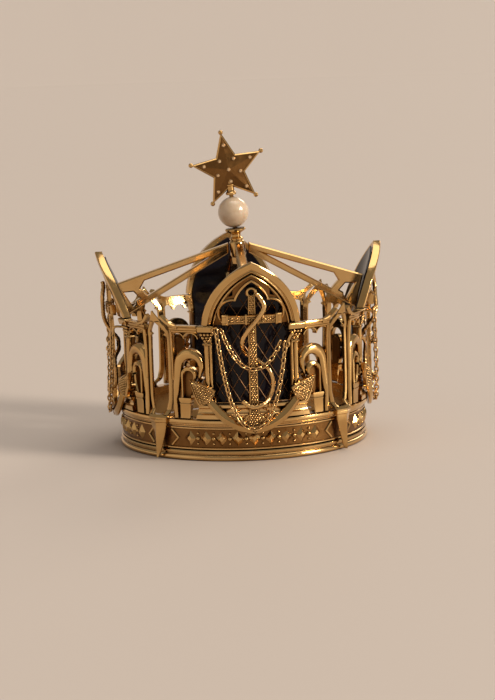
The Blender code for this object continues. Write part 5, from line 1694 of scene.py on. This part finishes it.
@dataclass
class Studio:
    """Pale floor, soft lamps and the camera."""

    distance: float = 0.945
    lens: float = 115.7
    azimuth_deg: float = -4.8
    elevation_deg: float = 9.0
    roll_deg: float = -1.8
    aim_z: float = 0.0368
    aim_right: float = 0.0025
    # How far each ring of the floor reaches and how high it lies there, in metres
    floor_rings: tuple = ((4.0, 0.0), (10.0, 0.35), (20.0, 1.8), (40.0, 7.0))
    floor_sides: int = 48

    def build(self) -> None:
        """Build the whole studio."""
        self.add_floor()
        self.add_world()
        # The way that each broad, distant light comes from, its width in degrees, its strength and its colour
        for name, source, width_deg, strength, colour in (
            ("key", (0.74, -0.40, 0.36), 15.0, 2.9, "#FFF4E6"),
            ("top", (0.15, 0.10, 1.0), 50.0, 1.15, "#FFF8F0"),
            ("fill", (-0.75, -0.35, 0.35), 40.0, 0.12, "#FFEBD6"),
            ("rim", (0.45, 0.70, 0.45), 24.0, 0.6, "#FFF3E2"),
        ):
            self.add_lamp(name, Vector(source), width_deg, strength, colour)
        self.add_camera()
        view = bpy.context.scene.view_settings
        view.view_transform = "Standard"

    def add_lamp(self, name: str, source: Vector, width_deg: float, strength: float, colour: str) -> None:
        """Add one broad, distant light, which falls evenly on crown and floor.

        Args:
            name: The light's name.
            source: The way that it comes from.
            width_deg: How wide it looks from the crown.
            strength: Its strength in watts per square metre.
            colour: Its sRGB colour.
        """
        data = bpy.data.lights.new(name, "SUN")
        data.angle = math.radians(width_deg)
        data.energy = strength
        data.color = linear(colour)[:3]
        lamp = bpy.data.objects.new(name, data)
        lamp.location = source
        lamp.rotation_mode = "QUATERNION"
        lamp.rotation_quaternion = (-source).to_track_quat("-Z", "Y")
        bpy.context.scene.collection.objects.link(lamp)

    def add_floor(self) -> None:
        """Add a wide, pale floor that rises gently far away, so that no horizon shows."""
        mesh = bpy.data.meshes.new("floor")
        sides, turn = self.floor_sides, math.tau / self.floor_sides
        points = [(reach * math.cos(i * turn), reach * math.sin(i * turn), z)
                  for reach, z in self.floor_rings for i in range(sides)]
        faces = [tuple(range(sides))]
        for ring in range(1, len(self.floor_rings)):
            inner, outer = (ring - 1) * sides, ring * sides
            faces += [(inner + i, outer + i, outer + (i + 1) % sides, inner + (i + 1) % sides)
                      for i in range(sides)]
        mesh.from_pydata(points, [], faces)
        floor = bpy.data.objects.new("floor", mesh)
        made = bpy.data.materials.new("pale studio floor")
        made.use_nodes = True
        shader = made.node_tree.nodes["Principled BSDF"]
        shader.inputs["Base Color"].default_value = linear("#C6BAB0")
        shader.inputs["Roughness"].default_value = 0.55
        shader.inputs["Specular IOR Level"].default_value = 0.25
        mesh.materials.append(made)
        bpy.context.scene.collection.objects.link(floor)

    def add_world(self) -> None:
        """Give the room an even, pale light."""
        world = bpy.data.worlds.new("room")
        world.use_nodes = True
        back = world.node_tree.nodes["Background"]
        back.inputs["Color"].default_value = linear("#F4ECE4")
        back.inputs["Strength"].default_value = 0.3
        bpy.context.scene.world = world

    def add_camera(self) -> None:
        """Add the camera, a little to the left of the front window and above it."""
        data = bpy.data.cameras.new("camera")
        data.sensor_width = 36.0
        data.lens = self.lens
        data.clip_start, data.clip_end = 0.05, 2 * self.floor_rings[-1][0]
        camera = bpy.data.objects.new("camera", data)
        azimuth, elevation = math.radians(self.azimuth_deg), math.radians(self.elevation_deg)
        back = Vector((math.sin(azimuth) * math.cos(elevation), -math.cos(azimuth) * math.cos(elevation),
                       math.sin(elevation)))
        right = Vector((math.cos(azimuth), math.sin(azimuth), 0.0))
        aim = Vector((0.0, 0.0, self.aim_z)) + right * self.aim_right
        camera.location = aim + back * self.distance
        camera.rotation_mode = "QUATERNION"
        roll = Quaternion((0.0, 0.0, 1.0), math.radians(self.roll_deg))
        camera.rotation_quaternion = (-back).to_track_quat("-Z", "Y") @ roll
        bpy.context.scene.collection.objects.link(camera)
        bpy.context.scene.camera = camera


def main() -> None:
    """Build the crown's pieces in order, then the studio."""
    logging.basicConfig(level=logging.INFO, format="%(message)s")
    shop = Workshop()
    for part in (Hoop(), Window(), Anchor(), Swag(), Corner(), Rib(), Finial()):
        LOG.info("building the %s", type(part).__name__.lower())
        part.build(shop)
    Studio().build()


if __name__ == "__main__":
    main()
